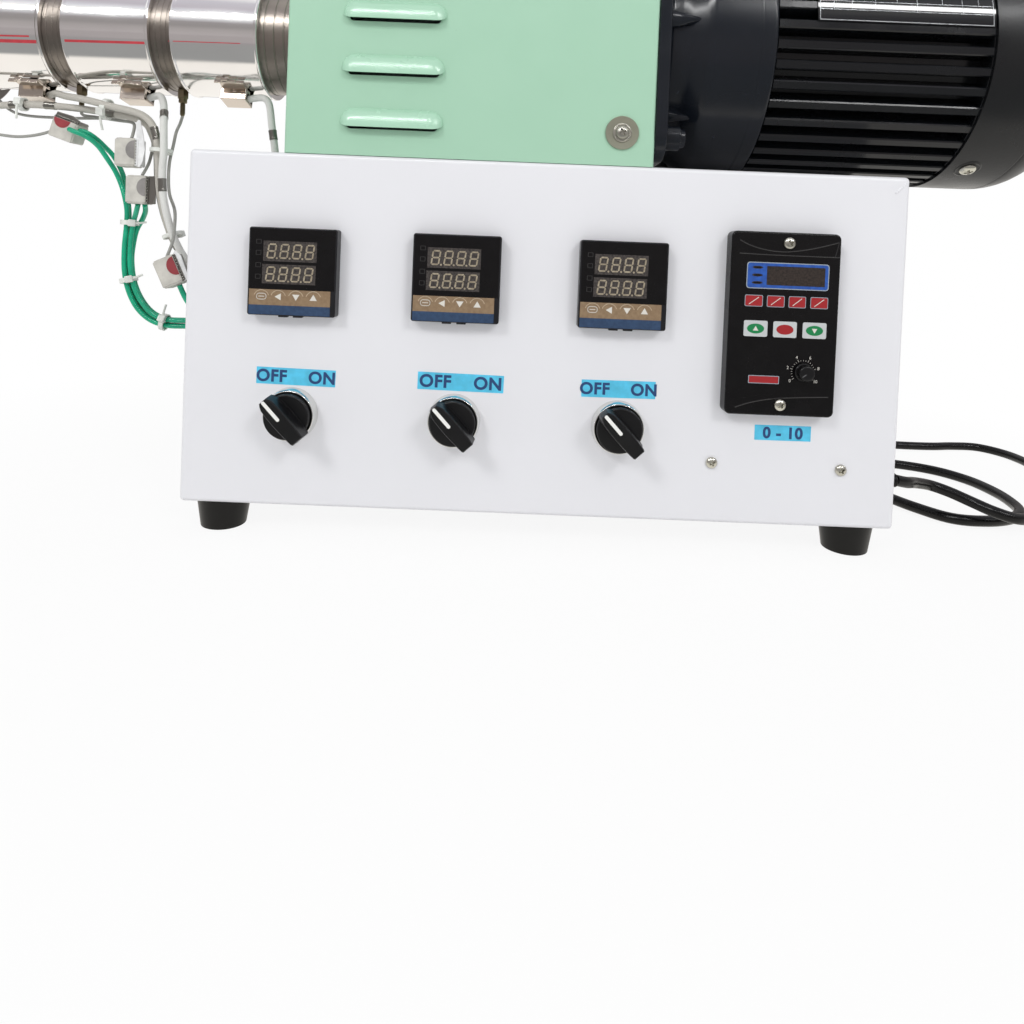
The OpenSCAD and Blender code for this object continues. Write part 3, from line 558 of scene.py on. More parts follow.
class Decals:
    """Flat printed shapes on a face: (across, up, lift) in millimetres go through place() to a point."""

    def __init__(self, place, mats):
        self.place, self.mats, self.bm = place, mats, bmesh.new()

    def poly(self, points, mat, lift):
        f = self.bm.faces.new([self.bm.verts.new(self.place(a, b, lift)) for a, b in points])
        f.material_index = self.mats.index(mat)

    def rect(self, x0, y0, x1, y1, mat, lift, r=0.0):
        self.poly(outline_rect(x1 - x0, y1 - y0, r, 4, (x0 + x1) / 2, (y0 + y1) / 2), mat, lift)

    def stroke(self, points, width, mat, lift, closed=False):
        """A line of one width through points."""
        n = len(points)
        pairs = [(k, (k + 1) % n) for k in range(n if closed else n - 1)]
        for i, j in pairs:
            a, b = Vector(points[i]), Vector(points[j])
            d = b - a
            if d.length < 1e-9:
                continue
            s = Vector((-d.y, d.x)).normalized() * width / 2
            e = d.normalized() * width * 0.18
            self.poly([a - s - e, b - s + e, b + s + e, a + s - e], mat, lift)

    def text(self, words, size, x, y, mat, lift, bold=0.0, spacing=1.0):
        """Plain lettering, centred on (x, y)."""
        curve = bpy.data.curves.new("words", "FONT")
        curve.body = words
        curve.size = size
        curve.align_x = "CENTER"
        curve.align_y = "CENTER"
        curve.offset = bold
        curve.space_character = spacing
        holder = add("words", curve)
        bpy.context.view_layer.update()
        mesh = bpy.data.meshes.new_from_object(holder.evaluated_get(bpy.context.evaluated_depsgraph_get()))
        bpy.data.objects.remove(holder)
        verts = [self.bm.verts.new(self.place(x + v.co.x, y + v.co.y, lift)) for v in mesh.vertices]
        for p in mesh.polygons:
            f = self.bm.faces.new([verts[k] for k in p.vertices])
            f.material_index = self.mats.index(mat)
        bpy.data.meshes.remove(mesh)

    def make(self, name, **more):
        return piece(name, self.bm, HERE, self.mats, **more)


def on_front(x, z, y):
    """Places a face's drawing on the plane y, about (x, z)."""
    return lambda a, b, lift: (x + a, y - lift, z + b)


def screw_mesh(d, h):
    """A pan-head screw with a cross recess, its seat at z = 0."""
    r = d / 2
    turns = [math.radians(k * 15) for k in range(6)]
    dome = [(r * math.cos(a), h * 0.25 + h * 0.75 * math.sin(a)) for a in turns]
    o = add("head", mesh_of(lathe([(r * 0.98, 0)] + dome + [(r * 0.12, h), (0, h)], 40), "head"))
    arm, wide = r * 0.62, r * 0.17
    for turn in (0, math.pi / 2):
        cross = bmesh.new()
        bmesh.ops.create_cube(cross, size=1)
        for v in cross.verts:
            low = v.co.z < 0
            v.co.x *= arm * (1.1 if low else 2.0)
            v.co.y *= wide * (1.2 if low else 2.0)
            v.co.z = h * 0.35 if low else h * 1.2
        cross.transform(Matrix.Rotation(turn + 0.5, 4, "Z"))
        subtract(o, mesh_of(cross, "cutter"))
    made = bmesh.new()
    made.from_mesh(o.data)
    bpy.data.objects.remove(o)
    return made


# Camera

YAW, PITCH, ROLL = -0.00053, 0.02026, 0.04034
forward = Vector((math.sin(YAW) * math.cos(PITCH), math.cos(YAW) * math.cos(PITCH), -math.sin(PITCH)))
level = Vector((math.cos(YAW), -math.sin(YAW), 0))
upright = level.cross(forward)
right = level * math.cos(ROLL) + upright * math.sin(ROLL)
up = right.cross(forward)
camera_data = bpy.data.cameras.new("camera")
camera_data.sensor_width = 36
camera_data.lens = 25.057
camera_data.shift_x = -0.00349
camera_data.shift_y = -0.23718
camera_data.clip_start = 0.01
camera = add("camera", camera_data)
eye = metres((-16.59, -470.5, 163.4))
camera.matrix_world = Matrix([(right[k], up[k], -forward[k], eye[k]) for k in range(3)] + [(0, 0, 0, 1)])
bpy.context.scene.camera = camera

# Power cord and plug

CORD_D = 7.0
PLUG = (-169, 166, 11)
cord_route = [[224, -30, 33], [233, -26.5, 30.8], [244, -17, 28], [259, -8, 24], [270, -11, 21],
              [281, -17, 17], [290, -25, 14], [302, -27, 11], [318, -19, 8], [340, -6, 4.5], [366, 14, 4],
              [395, 48, 4],
              [415, 90, 4], [424, 130, 4], [424, 160, 4], [412, 180, 4], [390, 181, 4], [370, 177, 4],
              [346, 176, 4], [318, 178, 4], [285, 182, 4], [256, 178, 4], [238, 162, 4], [238, 140, 4],
              [254, 124, 4], [280, 118, 4], [307, 110, 4], [326, 97, 4], [337, 77, 4], [340, 55, 4],
              [338, 32, 4], [330, 8, 4], [314, -7, 4], [293, -14, 4], [272, -11, 4], [258, 9, 4],
              [247, 34, 4], [232, 58, 4], [219, 88, 4], [213, 120, 4], [206, 150, 4], [186, 170, 4],
              [155, 175, 4],
              [100, 172, 4], [50, 168, 4], [0, 165, 4], [-50, 165, 4], [-90, 166, 6], [-125, 166, 10],
              [-150, 166, 11]]
cord_points = spline(cord_route, 3)
cord = piece("mains_cord", tube_mesh(cord_points, CORD_D / 2, 20), HERE, CABLE, slot="cord_black",
             replaces=["power_cord"])
plug_parts = [(block(34, 33.5, 19.6, 4.5, 4), at(*PLUG)),
              (prism(outline_rect(25, 13, 3), 1.0, 0.4), at(0, 0, 9.3) @ at(*PLUG))]
for k in range(4):
    rib = lathe(rounded([(3.7, 0), (5.6, 0), (5.4, 3.2), (3.7, 3.2)], 0.4), 24)
    plug_parts.append((rib, along_x(PLUG[0] + 17 + 3.9 * k, *PLUG[1:])))
plug = piece("mains_plug", joined(*plug_parts), HERE, CABLE, slot="cord_black", replaces=["power_plug"])
pins = [(block(19, 1.8, 6.3, 0.5), at(-26.5, dy, dz) @ at(*PLUG)) for dy, dz in ((-9, 0), (9, 0), (0, 5))]
piece("mains_plug_pins", joined(*pins), HERE, BRASS, slot="brass")

# Cabinet

SHEET = 1.5


def folded_box(x0, x1, y0, y1, z0, z1, r):
    """A sheet box's outer skin with bends of radius r."""
    bm = block(x1 - x0, y1 - y0, z1 - z0, r, 5)
    bm.transform(at((x0 + x1) / 2, (y0 + y1) / 2, (z0 + z1) / 2))
    return bm


def without(bm, point, normal):
    """Cuts away everything on the far side of a plane."""
    everything = bm.verts[:] + bm.edges[:] + bm.faces[:]
    bmesh.ops.bisect_plane(bm, geom=everything, plane_co=point, plane_no=normal, clear_outer=True)
    return bm


def thick(o, t):
    """Gives an open skin its sheet thickness, inwards."""
    step = o.modifiers.new("sheet", "SOLIDIFY")
    step.thickness = t / 1000
    step.offset = -1
    step.use_even_offset = True
    applied(o)


skin = folded_box(-HALF_W, HALF_W, -HALF_D, HALF_D + 20, LOW_Z, TOP_Z, 2.6)
skin = without(skin, (0, HALF_D, 0), (0, 1, 0))
shell = piece("cabinet_panels", skin, HERE, WHITE, slot="panel_white", replaces=["cabinet_shell"])
thick(shell, SHEET)
cut(shell, (block(374, 132, 12, 3), at(0, 6, LOW_Z)))

base = joined((block(373, 124, SHEET, 0.4), at(0, 5, 18.9)), (block(373, SHEET, 9, 0.4), at(0, -56, 23.4)))
piece("cabinet_floor", base, HERE, WHITE, slot="panel_white", replaces=["cabinet_base"])
rear = prism(outline_rect(396.4, 195, 2.5), 1.4, 0.4)
piece("cabinet_rear", rear, facing_back(0, HALF_D - SHEET, 116), WHITE, slot="panel_white",
      replaces=["cabinet_back"])
HEAD = {d: screw_mesh(d, h) for d, h in ((6.5, 2.3), (9.5, 3.2), (8, 2.4))}


def screws(name, d, places, replaces=()):
    """A piece of like screws with heads of diameter d, one at each place."""
    heads = joined(*[(HEAD[d].copy(), place) for place in places])
    piece(name, heads, HERE, ZINC, slot="zinc_steel", replaces=replaces)


rear_xz = [(x, z) for x in (-190, -64, 64, 190) for z in (27, 205)] + [(-190, 116), (190, 116)]
screws("cabinet_rear_screws", 8, [facing_back(x, HALF_D - 0.2, z) for x, z in rear_xz])

# A weld seam across the front's upper right corner

bead = [(0, -0.3), (0.9, -0.3), (0.8, 0.25), (0.3, 0.45), (0, 0.5)]
seam = [(lathe(bead, 12), facing_front(192.2 + k * 0.9, FRONT_Y, 206.2 + k * 0.9)) for k in range(7)]
piece("front_weld_seam", joined(*seam), HERE, WHITE)

# Feet

foot = rounded([(0, 18), (15, 18), (14.7, 15.5), (12.5, 0.4), (11.7, 0), (6.5, 0), (5, 3.5), (0, 3.5)], 0.9)
feet_xy = [(x, y) for x in (-181.5, 181.5) for y in (-56.5, 56.5)]
piece("machine_feet", joined(*[(lathe(foot, 64), at(x, y, 0)) for x, y in feet_xy]), HERE, RUBBER,
      slot="feet_rubber", replaces=["rubber_feet"])
screws("machine_feet_screws", 6.5, [at(x, y, 3.4) @ Matrix.Rotation(math.pi, 4, "X") for x, y in feet_xy])

# Temperature controllers

HALF_FACE, FACE_T = 24.0, 8


def digit_eight(d, x, y, w, h, t, lean, mat, lift):
    """A seven-segment eight, all its segments lit, its centre at (x, y)."""
    gap, half = t * 0.16, t / 2
    a = w / 2 - half - gap
    bars = [[(-a, py), (-a + half, py + half), (a - half, py + half), (a, py), (a - half, py - half),
             (-a + half, py - half)] for py in (-h / 2 + half, 0, h / 2 - half)]
    for px in (-w / 2 + half, w / 2 - half):
        for low, high in ((-h / 2 + half + gap, -gap), (gap, h / 2 - half - gap)):
            bars.append([(px, low), (px + half, low + half), (px + half, high - half), (px, high),
                         (px - half, high - half), (px - half, low + half)])
    for bar in bars:
        d.poly([(x + px + py * lean, y + py) for px, py in bar], mat, lift)


def temperature_controller(number):
    node = f"temperature_controller_{number}"
    x, _, z = cad_middle(node)
    rim = prism(outline_rect(2 * HALF_FACE, 2 * HALF_FACE, 1.3), FACE_T, 0.55, 3)
    body = [(rim, facing_front(x, FRONT_Y, z)), (block(44.6, 79.5, 44.6, 0.8), at(x, FRONT_Y + 39.9, z))]
    for a in (-4.5, 3.5):
        body.append((block(5.2, 3.2, 1.1, 0.4), at(x + a, FRONT_Y - 6.1, z - HALF_FACE - 0.3)))
    piece(f"temperature_display_{number}", joined(*body), HERE, CASE, slot="black_plastic", replaces=[node])
    d = Decals(on_front(x, z, FRONT_Y - FACE_T), [FILM, WINDOW, SEGMENT, FAINT, TAN, NAVY, PRINT, PRINT_SOFT])

    def point(a, b):
        """A point on the face, a across and b down from its upper left corner."""
        return (a - HALF_FACE, HALF_FACE - b)

    def rect(a0, b0, a1, b1, mat, lift, r=0.0):
        d.rect(*point(a0, b1), *point(a1, b0), mat, lift, r)

    rect(0.9, 0.9, 47.1, 33.8, FILM, 0.06)
    rect(8.0, 7.4, 37.1, 18.5, WINDOW, 0.13)
    rect(7.7, 20.1, 36.8, 30.7, WINDOW, 0.13)
    rect(0.9, 33.8, 45.2, 42.4, TAN, 0.07)
    rect(0.9, 42.4, 45.2, 47.5, NAVY, 0.07)
    for a, b in ((12.6, 12.9), (12.2, 25.4)):
        for k in range(4):
            digit_eight(d, *point(a + 6.9 * k, b), 4.8, 8.2, 0.85, 0.14, SEGMENT, 0.20)
            if k < 3:
                d.poly(circle(0.55, 8, *point(a + 6.9 * k + 2.9, b + 3.8)), SEGMENT, 0.20)
    for b0, b1 in ((6.7, 9.2), (12.6, 15.3), (19.3, 22.0), (25.6, 28.3)):
        rect(3.9, b0, 7.0, b1, FAINT, 0.13, 0.4)
        rect(4.4, b0 + 0.4, 6.5, b1 - 0.4, FILM, 0.16, 0.3)
    keys = 37.7
    for a in (7.7, 16.9, 26.5, 36.0):
        d.stroke(arc(*point(a, keys + 0.6), 4.1, 20, 160), 0.45, PRINT_SOFT, 0.13)
    d.stroke(outline_rect(5.2, 3.2, 1.4, 4, *point(7.7, keys)), 0.4, PRINT, 0.14, closed=True)
    d.stroke([point(6.2, keys), point(9.2, keys)], 0.4, PRINT, 0.14)
    for arrow in (((14.9, 0), (18.3, 1.9), (18.3, -1.9)), ((24.5, -1.5), (26.5, 1.8), (28.5, -1.5)),
                  ((34.0, 1.5), (38.0, 1.5), (36.0, -1.9))):
        d.poly([point(a, keys + b) for a, b in arrow], PRINT, 0.14)
    d.make(f"temperature_display_{number}_face", angle=30)


for number in (1, 2, 3):
    temperature_controller(number)

# Rotary switches

GRIP = [(14.5, 2.3), (13.2, 3.2), (11, 4.2), (5.5, 4.65), (0, 4.75), (-5.5, 4.6), (-11, 4.2), (-13.6, 3.9),
        (-14.4, 3.4)]
POINTER_TURN = Matrix.Rotation(math.radians(133), 4, "Z")


def grip_mesh():
    """The grip, its pointer end at +X, standing on z = 0."""
    outline = GRIP + [(x, -y) for x, y in reversed(GRIP)]
    bm = bmesh.new()
    levels = ((0, 1.0, 1.13), (0.7, 1.0, 1.05), (2, 1.0, 1.01), (8.9, 0.985, 0.955), (9.6, 0.97, 0.91),
              (10, 0.945, 0.83))
    rings = [[bm.verts.new((x * s, y * w, h)) for x, y in outline] for h, s, w in levels]
    skin_rings(bm, rings, True)
    bm.faces.new(rings[-1])
    bm.faces.new(list(reversed(rings[0])))
    bmesh.ops.recalc_face_normals(bm, faces=bm.faces)
    return bm


def switch(number):
    x, _, z = cad_middle(f"switch_bezel_{number}")
    place = facing_front(x, FRONT_Y, z)
    handle = f"switch_handle_{number}"
    ring = rounded([(4.05, 2.3), (12.9, 2.3), (13.05, 6.9), (13.7, 7.0), (14.3, 5.6), (14.75, 0.6),
                    (14.75, 0), (11, 0), (11, -45), (4.05, -45)], 0.5, 4)
    piece(f"switch_ring_{number}", lathe(ring, 96, True), place, CHROME, slot="bezel_chrome",
          replaces=[f"switch_bezel_{number}"])
    disc = rounded([(0, 2.9), (12.5, 2.9), (12.5, 10.4), (12.0, 10.95), (0, 11.0)], 0.35)
    whole = joined((lathe(disc, 96), HERE), (rod(3.9, -19, 3, 24), HERE),
                   (grip_mesh(), POINTER_TURN @ at(0, 0, 10.9)))
    piece(f"switch_grip_{number}", whole, place, KNOB, body=handle, slot="black_plastic", replaces=[handle],
          angle=28)
    line = prism(outline_rect(13.6, 1.9, 0.9, 5, 7.3, 0), 0.12, 0.03)
    piece(f"switch_line_{number}", line, place @ POINTER_TURN @ at(0, 0, 20.86), PRINT_WHITE, body=handle)


for number in (1, 2, 3):
    switch(number)


# Labels


def label(name, words, x0, x1, z0, z1, size, tilt=0.0):
    x, z = (x0 + x1) / 2, (z0 + z1) / 2
    place = facing_front(x, FRONT_Y, z) @ Matrix.Rotation(tilt, 4, "Z")
    piece(name, prism(outline_rect(x1 - x0, z1 - z0, 0.25, 2), 0.12, 0.03), place, STICKER)
    ca, sa = math.cos(tilt), math.sin(tilt)
    d = Decals(lambda a, b, lift: (x + a * ca - b * sa, FRONT_Y - lift, z + a * sa + b * ca), [INK])
    d.text(words, size, 0, -0.3, INK, 0.19, bold=0.32, spacing=1.08)
    d.make(name + "_words")


label("label_switch_1", "OFF    ON", -158.6, -114.5, 85.8, 95.2, 9.2, -0.015)
label("label_switch_2", "OFF    ON", -68.8, -20.8, 86.2, 96.0, 9.6, -0.012)
label("label_switch_3", "OFF    ON", 22.5, 63.8, 86.0, 95.7, 9.0, 0.006)
label("label_dial", "0 - 10", 119.9, 151.3, 65.8, 74.3, 8.6, 0.004)

# Speed controller

SPEED_X, _, SPEED_Z = cad_middle("speed_controller")
SPEED_Y = cad_corners("speed_controller")[0][1]
SPEED_W, SPEED_H = 59.5, 100.0
DIAL_A, DIAL_B = 41.65, 75.5
FIRST_MARK, MARKS_TURN = 216, 252

face = prism(outline_rect(SPEED_W, SPEED_H, 3.2, 6), 9, 1.1, 4)
rear = (block(53.5, 59.5, 88, 0.8), at(SPEED_X, FRONT_Y + 29.9, SPEED_Z))
piece("speed_regulator", joined((face, facing_front(SPEED_X, FRONT_Y, SPEED_Z)), rear), HERE, FILM,
      slot="gloss_black", replaces=["speed_controller"])


def speed_point(a, b, lift=0.0):
    """A point on the speed controller's face, a across and b down from its upper left corner."""
    return (SPEED_X - SPEED_W / 2 + a, SPEED_Y - lift, SPEED_Z + SPEED_H / 2 - b)


d = Decals(lambda a, b, lift: speed_point(a, -b, lift),
           [FILM, BLUE_FRAME, LCD, PRINT_RED, PRINT_GREEN, KEY_GREY, FRAME_GREY, PRINT])


def face_rect(a0, b0, a1, b1, mat, lift, r=0.0):
    d.rect(a0, -b1, a1, -b0, mat, lift, r)


def face_line(points, width, mat, lift):
    d.stroke([(a, -b) for a, b in points], width, mat, lift)


face_rect(8.7, 16.6, 53.4, 31.0, FRAME_GREY, 0.06, 1.6)
face_rect(9.2, 17.1, 52.9, 30.5, BLUE_FRAME, 0.12, 1.3)
face_rect(19.6, 18.6, 51.2, 28.9, LCD, 0.18, 0.3)
for b in (19.5, 23.7, 27.8):
    d.poly(oval(5.8, 1.6, 20, 14.5, -b), LCD, 0.18)
    d.poly(oval(4.4, 0.7, 20, 14.5, -b), FILM, 0.24)
for a0, a1 in ((8.3, 18.1), (20.3, 29.9), (32.1, 41.5), (43.9, 53.5)):
    face_rect(a0, 34.5, a1, 40.8, FRAME_GREY, 0.06, 0.8)
    face_rect(a0 + 0.35, 34.85, a1 - 0.35, 40.45, PRINT_RED, 0.12, 0.6)
    face_line([(a0 + 2.3, 39.6), (a1 - 2.3, 35.7)], 0.4, PRINT, 0.18)
for a0, a1, mat, way in ((8.4, 21.3, PRINT_GREEN, 1), (24.4, 37.2, PRINT_RED, 0),
                         (40.4, 53.3, PRINT_GREEN, -1)):
    middle = (a0 + a1) / 2
    face_rect(a0, 48.4, a1, 57.1, KEY_GREY, 0.06, 0.9)
    d.poly(oval(9.3, 5.4, 32, middle, -52.8), mat, 0.12)
    if way:
        arrow = [(middle + a, -52.8 + b * way) for a, b in ((-1.5, -1.1), (1.5, -1.1), (0, 1.5))]
        d.poly(arrow, PRINT, 0.18)
for k in range(21):
    turn = FIRST_MARK - MARKS_TURN * k / 20
    reach = 7.2 if k % 4 == 0 else 6.6
    d.stroke([polar(r, turn, DIAL_A, -DIAL_B) for r in (5.9, reach)], 0.16, PRINT, 0.08)
for k in range(6):
    d.text(str(2 * k), 2.4, *polar(8.6, FIRST_MARK - MARKS_TURN * k / 5, DIAL_A, -DIAL_B), PRINT, 0.08)
face_rect(12.1, 78.2, 28.9, 82.6, FRAME_GREY, 0.06, 0.4)
face_rect(12.5, 78.6, 28.5, 82.2, PRINT_RED, 0.12, 0.3)
d.make("speed_regulator_print", angle=30)

# Raised lines moulded in the speed controller's face

ridges = []
for route in ([(4.3, 4.9), (9, 7.2), (14.4, 8.9), (20, 10.0), (26, 10.5), (32, 10.3), (40, 9.1), (48, 7.3),
               (54, 5.6), (58, 4.4)],
              [(4.3, 12.1), (20, 12.4), (40, 12.5), (58, 12.5)], [(58, 4.4), (57.2, 8.4), (56.2, 12.4)],
              [(5.5, 96), (12, 93.6), (20, 91.6), (28, 90.4), (40, 89.4), (56, 88.6)]):
    points = spline([speed_point(a, b, -0.12) for a, b in route], 1.5)
    ridges.append((tube_mesh(points, 0.36, 8), HERE))
piece("speed_regulator_ridges", joined(*ridges), HERE, GLOSS, slot="gloss_black")
places = [facing_front(*speed_point(a, b)) for a, b in ((31.0, 5.9), (29.9, 93.9))]
screws("speed_regulator_screws", 6.5, places)

knob_profile = rounded([(2.0, -11), (2.0, -0.3), (4.9, 0.5), (4.9, 1.6), (4.3, 2.0), (4.0, 6.2), (3.0, 6.5),
                        (0, 6.5)], 0.4)
knob = [(lathe(knob_profile, 48), HERE)]
for k in range(18):
    knob.append((block(0.5, 0.9, 4, 0.15), Matrix.Rotation(k * math.pi / 9, 4, "Z") @ at(4.1, 0, 4.1)))
dial_place = facing_front(*speed_point(DIAL_A, DIAL_B))
piece("dial_knob", joined(*knob), dial_place, KNOB, body="speed_dial", slot="black_plastic",
      replaces=["speed_dial"])
pointer_place = dial_place @ Matrix.Rotation(math.radians(FIRST_MARK), 4, "Z") @ at(0, 0, 6.47)
piece("dial_knob_line", prism(outline_rect(2.6, 0.45, 0.15, 2, 2.0, 0), 0.07, 0.02), pointer_place, PRINT_DIM,
      body="speed_dial")

# Panel screws

screws("panel_fixings", 6.5, [facing_front(x, FRONT_Y, z) for x, z in ((96.6, 52.0), (168.7, 50.6))],
       ["panel_screws"])


# Drive housing

(HX0, _, _), (HX1, _, HOUSE_TOP) = cad_corners("housing_cover")
HALF_H = 74.0
LOUVRE_X = cad_middle("hopper")[0]
BARREL_HOLE, DRIVE_HOLE, HOPPER_HOLE = 33, 58.1, 19
BARREL_X0, BARREL_X1 = [corner[0] for corner in cad_corners("barrel")]
skin = folded_box(HX0, HX1, -HALF_H, HALF_H, TOP_Z - 10, HOUSE_TOP, 1.6)
skin = without(skin, (0, 0, TOP_Z), (0, 0, -1))
cover = piece("housing_sheet", skin, HERE, GREEN, slot="green_paint", replaces=["housing_cover"])
thick(cover, SHEET)
louvre_z = [TOP_Z + 15.6 + k * 29.7 for k in range(5)]
slots = []
for z in louvre_z:
    for y in (-HALF_H, HALF_H):
        slots.append((block(51, 6, 5.2, 2.4, 3), at(LOUVRE_X, y, z + 1.7)))
cut(cover, (joined(*slots), HERE), (rod(BARREL_HOLE, 0, 8), along_x(HX0 - 4)),
    (rod(DRIVE_HOLE, 0, 8), along_x(HX1 - 4)), (rod(HOPPER_HOLE, 0, 8, 48), at(LOUVRE_X, 0, HOUSE_TOP - 4)))


def louvre_mesh():
    """A pressed hood that opens downward: X across, Y up the sheet, Z out of it."""
    bm = bmesh.new()
    wide, tall, out, end, thin, corner = 28.5, 10.6, 5.4, 9.0, 0.9, 3.4
    xs = [-wide + end * (1 - math.cos(k * math.pi / 24)) for k in range(13)]
    xs += [-wide + end + (wide - end) * k / 4 for k in range(1, 8)]
    xs += [-x for x in reversed(xs[:13])]
    outer, inner = [], []
    for x in xs:
        past = max(0.0, (abs(x) - (wide - end)) / end)
        round_end = max(0.0, 1 - past ** 2.6)
        top = corner + (tall - corner) * round_end ** 0.5
        low = corner - (corner + 0.4) * max(0.0, 1 - past ** 3.6) ** 0.5
        rise = out * round_end ** 0.55
        outer.append([])
        inner.append([])
        for k in range(13):
            b = k / 12
            y = low + (top - low) * b
            z = rise * max(0.0, 1 - b ** 2.1) ** 0.62 - 0.25
            outer[-1].append(bm.verts.new((x, y, z)))
            inside = (x * (1 - thin / wide), y * (1 - thin / tall), max(z - thin, -0.5))
            inner[-1].append(bm.verts.new(inside))
    skin_rings(bm, [column[::-1] for column in outer], False)
    skin_rings(bm, inner, False)
    skin_rings(bm, [[a[0] for a in inner], [a[0] for a in outer]], False)
    return bm


hoods = []
for z in louvre_z:
    hoods.append((louvre_mesh(), facing_front(LOUVRE_X, -HALF_H, z)))
    hoods.append((louvre_mesh(), facing_back(LOUVRE_X, HALF_H, z)))
piece("housing_louvres", joined(*hoods), HERE, HOOD_LIT, slot="green_paint", angle=60)

FIXING_INSET = 18.1
washer = rounded([(4.4, 0), (9.25, 0), (9.25, 1.2), (5.2, 1.0), (4.4, 1.0)], 0.14)
collar = rounded([(2.6, 0.9), (5.3, 0.9), (5.3, 1.5), (4.6, 2.0), (4.3, 1.7), (2.6, 1.7)], 0.15)
washers, inner_heads = [], []
for z in (TOP_Z + FIXING_INSET, HOUSE_TOP - FIXING_INSET):
    for place in (facing_front(HX1 - 18.4, -HALF_H, z), facing_back(HX1 - 18.4, HALF_H, z)):
        washers.append((lathe(washer, 96, True), place))
        inner_heads.append((lathe(collar, 64, True), place))
        inner_heads.append((HEAD[6.5].copy(), place @ at(0, 0, 1.3) @ Matrix.Scale(1.15, 4)))
piece("housing_washers", joined(*washers), HERE, WASHER, slot="zinc_steel", replaces=["housing_screws"])
piece("housing_fixings", joined(*inner_heads), HERE, ZINC, slot="zinc_steel")

# Inside the housing: feed block and bearing housing

feed_at = cad_middle("feed_block")[0]
feed = piece("feed_casting", block(80, 100, 153.5, 2, 3), at(feed_at, 0, TOP_Z + 76.75), CAST,
             slot="cast_grey", replaces=["feed_block"])
cut(feed, (rod(32.1, -50, 50), along_x(feed_at)), (rod(15, 0, 100, 48), at(LOUVRE_X, 0, AXIS_Z)))
bearing = lathe(rounded([(0, 0), (58, 0), (58, 119.5), (0, 119.5)], 1.5), 96)
bearing = joined((bearing, along_x(BARREL_X1)), (block(116, 80, 79, 2), at(-4, 0, AXIS_Z - 40)))
piece("bearing_casting", bearing, HERE, CAST, slot="cast_grey", replaces=["bearing_housing"])

# Hopper

cone = rounded([(15, 0), (36, 0), (36, 4), (18, 4), (18, 18), (80, 138), (82.6, 138), (83, 139), (82.6, 140),
                (78.8, 140), (78.8, 138.5), (15, 18.5)], 0.8, 3)
piece("hopper_cone", lathe(cone, 128, True), at(LOUVRE_X, 0, HOUSE_TOP), HOPPER, slot="hopper_steel",
      replaces=["hopper"])
seam = tube_mesh([Vector((18.6, 0, 19.0)), Vector((79.6, 0, 137.2))], 0.7, 8)
piece("hopper_seam", seam, at(LOUVRE_X, 0, HOUSE_TOP) @ Matrix.Rotation(math.pi / 2, 4, "Z"), HOPPER,
      slot="hopper_steel")
around = [Matrix.Rotation(math.pi / 4 + k * math.pi / 2, 4, "Z") @ at(28.5, 0, 0) for k in range(4)]
screws("hopper_fixings", 8, [at(LOUVRE_X, 0, HOUSE_TOP + 4) @ turned for turned in around])


# Gear motor

FLANGE_X, CASE_X = [corner[0] for corner in cad_corners("gearbox_flange")]
BODY_X, RIM_X = [corner[0] for corner in cad_corners("motor_body")]
COWL_END = cad_corners("fan_cowl")[1][0]
BOLT_OFFSET = 61
flange = prism(outline_rect(150, 150, 16, 10), 7, 1.2, 3, True)
piece("gear_flange", flange, along_x(FLANGE_X), ENAMEL, slot="motor_black", replaces=["gearbox_flange"])


def gear_rib(angle):
    """A tapering rib on the gear case, angle degrees below the front."""
    bm = bmesh.new()
    rings = []
    for x, half, r in ((-0.5, 5.0, 73.5), (4, 4.2, 73.2), (10, 3.0, 72.6), (15, 2.0, 72.2),
                       (17.5, 1.2, 71.6)):
        ring = [(x, 63, -half), (x, r - 2.2, -half * 0.9), (x, r - 0.5, -half * 0.45), (x, r, half * 0.2),
                (x, r - 0.9, half * 0.75), (x, r - 2.6, half), (x, 63, half)]
        rings.append([bm.verts.new(p) for p in ring])
    skin_rings(bm, rings, False)
    bm.faces.new(rings[-1])
    bmesh.ops.recalc_face_normals(bm, faces=bm.faces)
    c, s = polar(1, angle)
    return bm, Matrix(((1, 0, 0, CASE_X), (0, -c, -s, 0), (0, -s, c, AXIS_Z), (0, 0, 0, 1)))


case_line = rounded([(0, 0), (67.5, 0), (68.5, 10), (75.0, 22), (75.1, 49.5), (75.5, 50.3), (75.5, 59.0),
                     (0, 59)], 3.0, 6)
case_parts = [(lathe(case_line, 160), along_x(CASE_X))]
for angle in range(-3, 357, 45):
    case_parts.append(gear_rib(angle))
piece("gear_case", joined(*case_parts), HERE, ENAMEL, slot="motor_black", replaces=["gearbox_case"])

lug = rounded([(0, 0), (7, 0), (7, 9), (5.6, 9), (5.2, 12), (0, 12)], 0.7)
lugs = []
for dy in (-BOLT_OFFSET, BOLT_OFFSET):
    for dz in (-BOLT_OFFSET, BOLT_OFFSET):
        lugs.append((lathe(lug, 40), along_x(CASE_X, dy, AXIS_Z + dz)))
        lugs.append((prism(circle(4.6, 6), 3.0, 0.4), along_x(CASE_X + 9, dy, AXIS_Z + dz)))
piece("gear_case_bolts", joined(*lugs), HERE, ENAMEL, slot="motor_black", replaces=["gearbox_bolts"])

# Finned body

CORE_R, FIN_R, FINS, FIN_W = 62.5, 74.5, 42, 5.3
PAD_HALF = 21.5


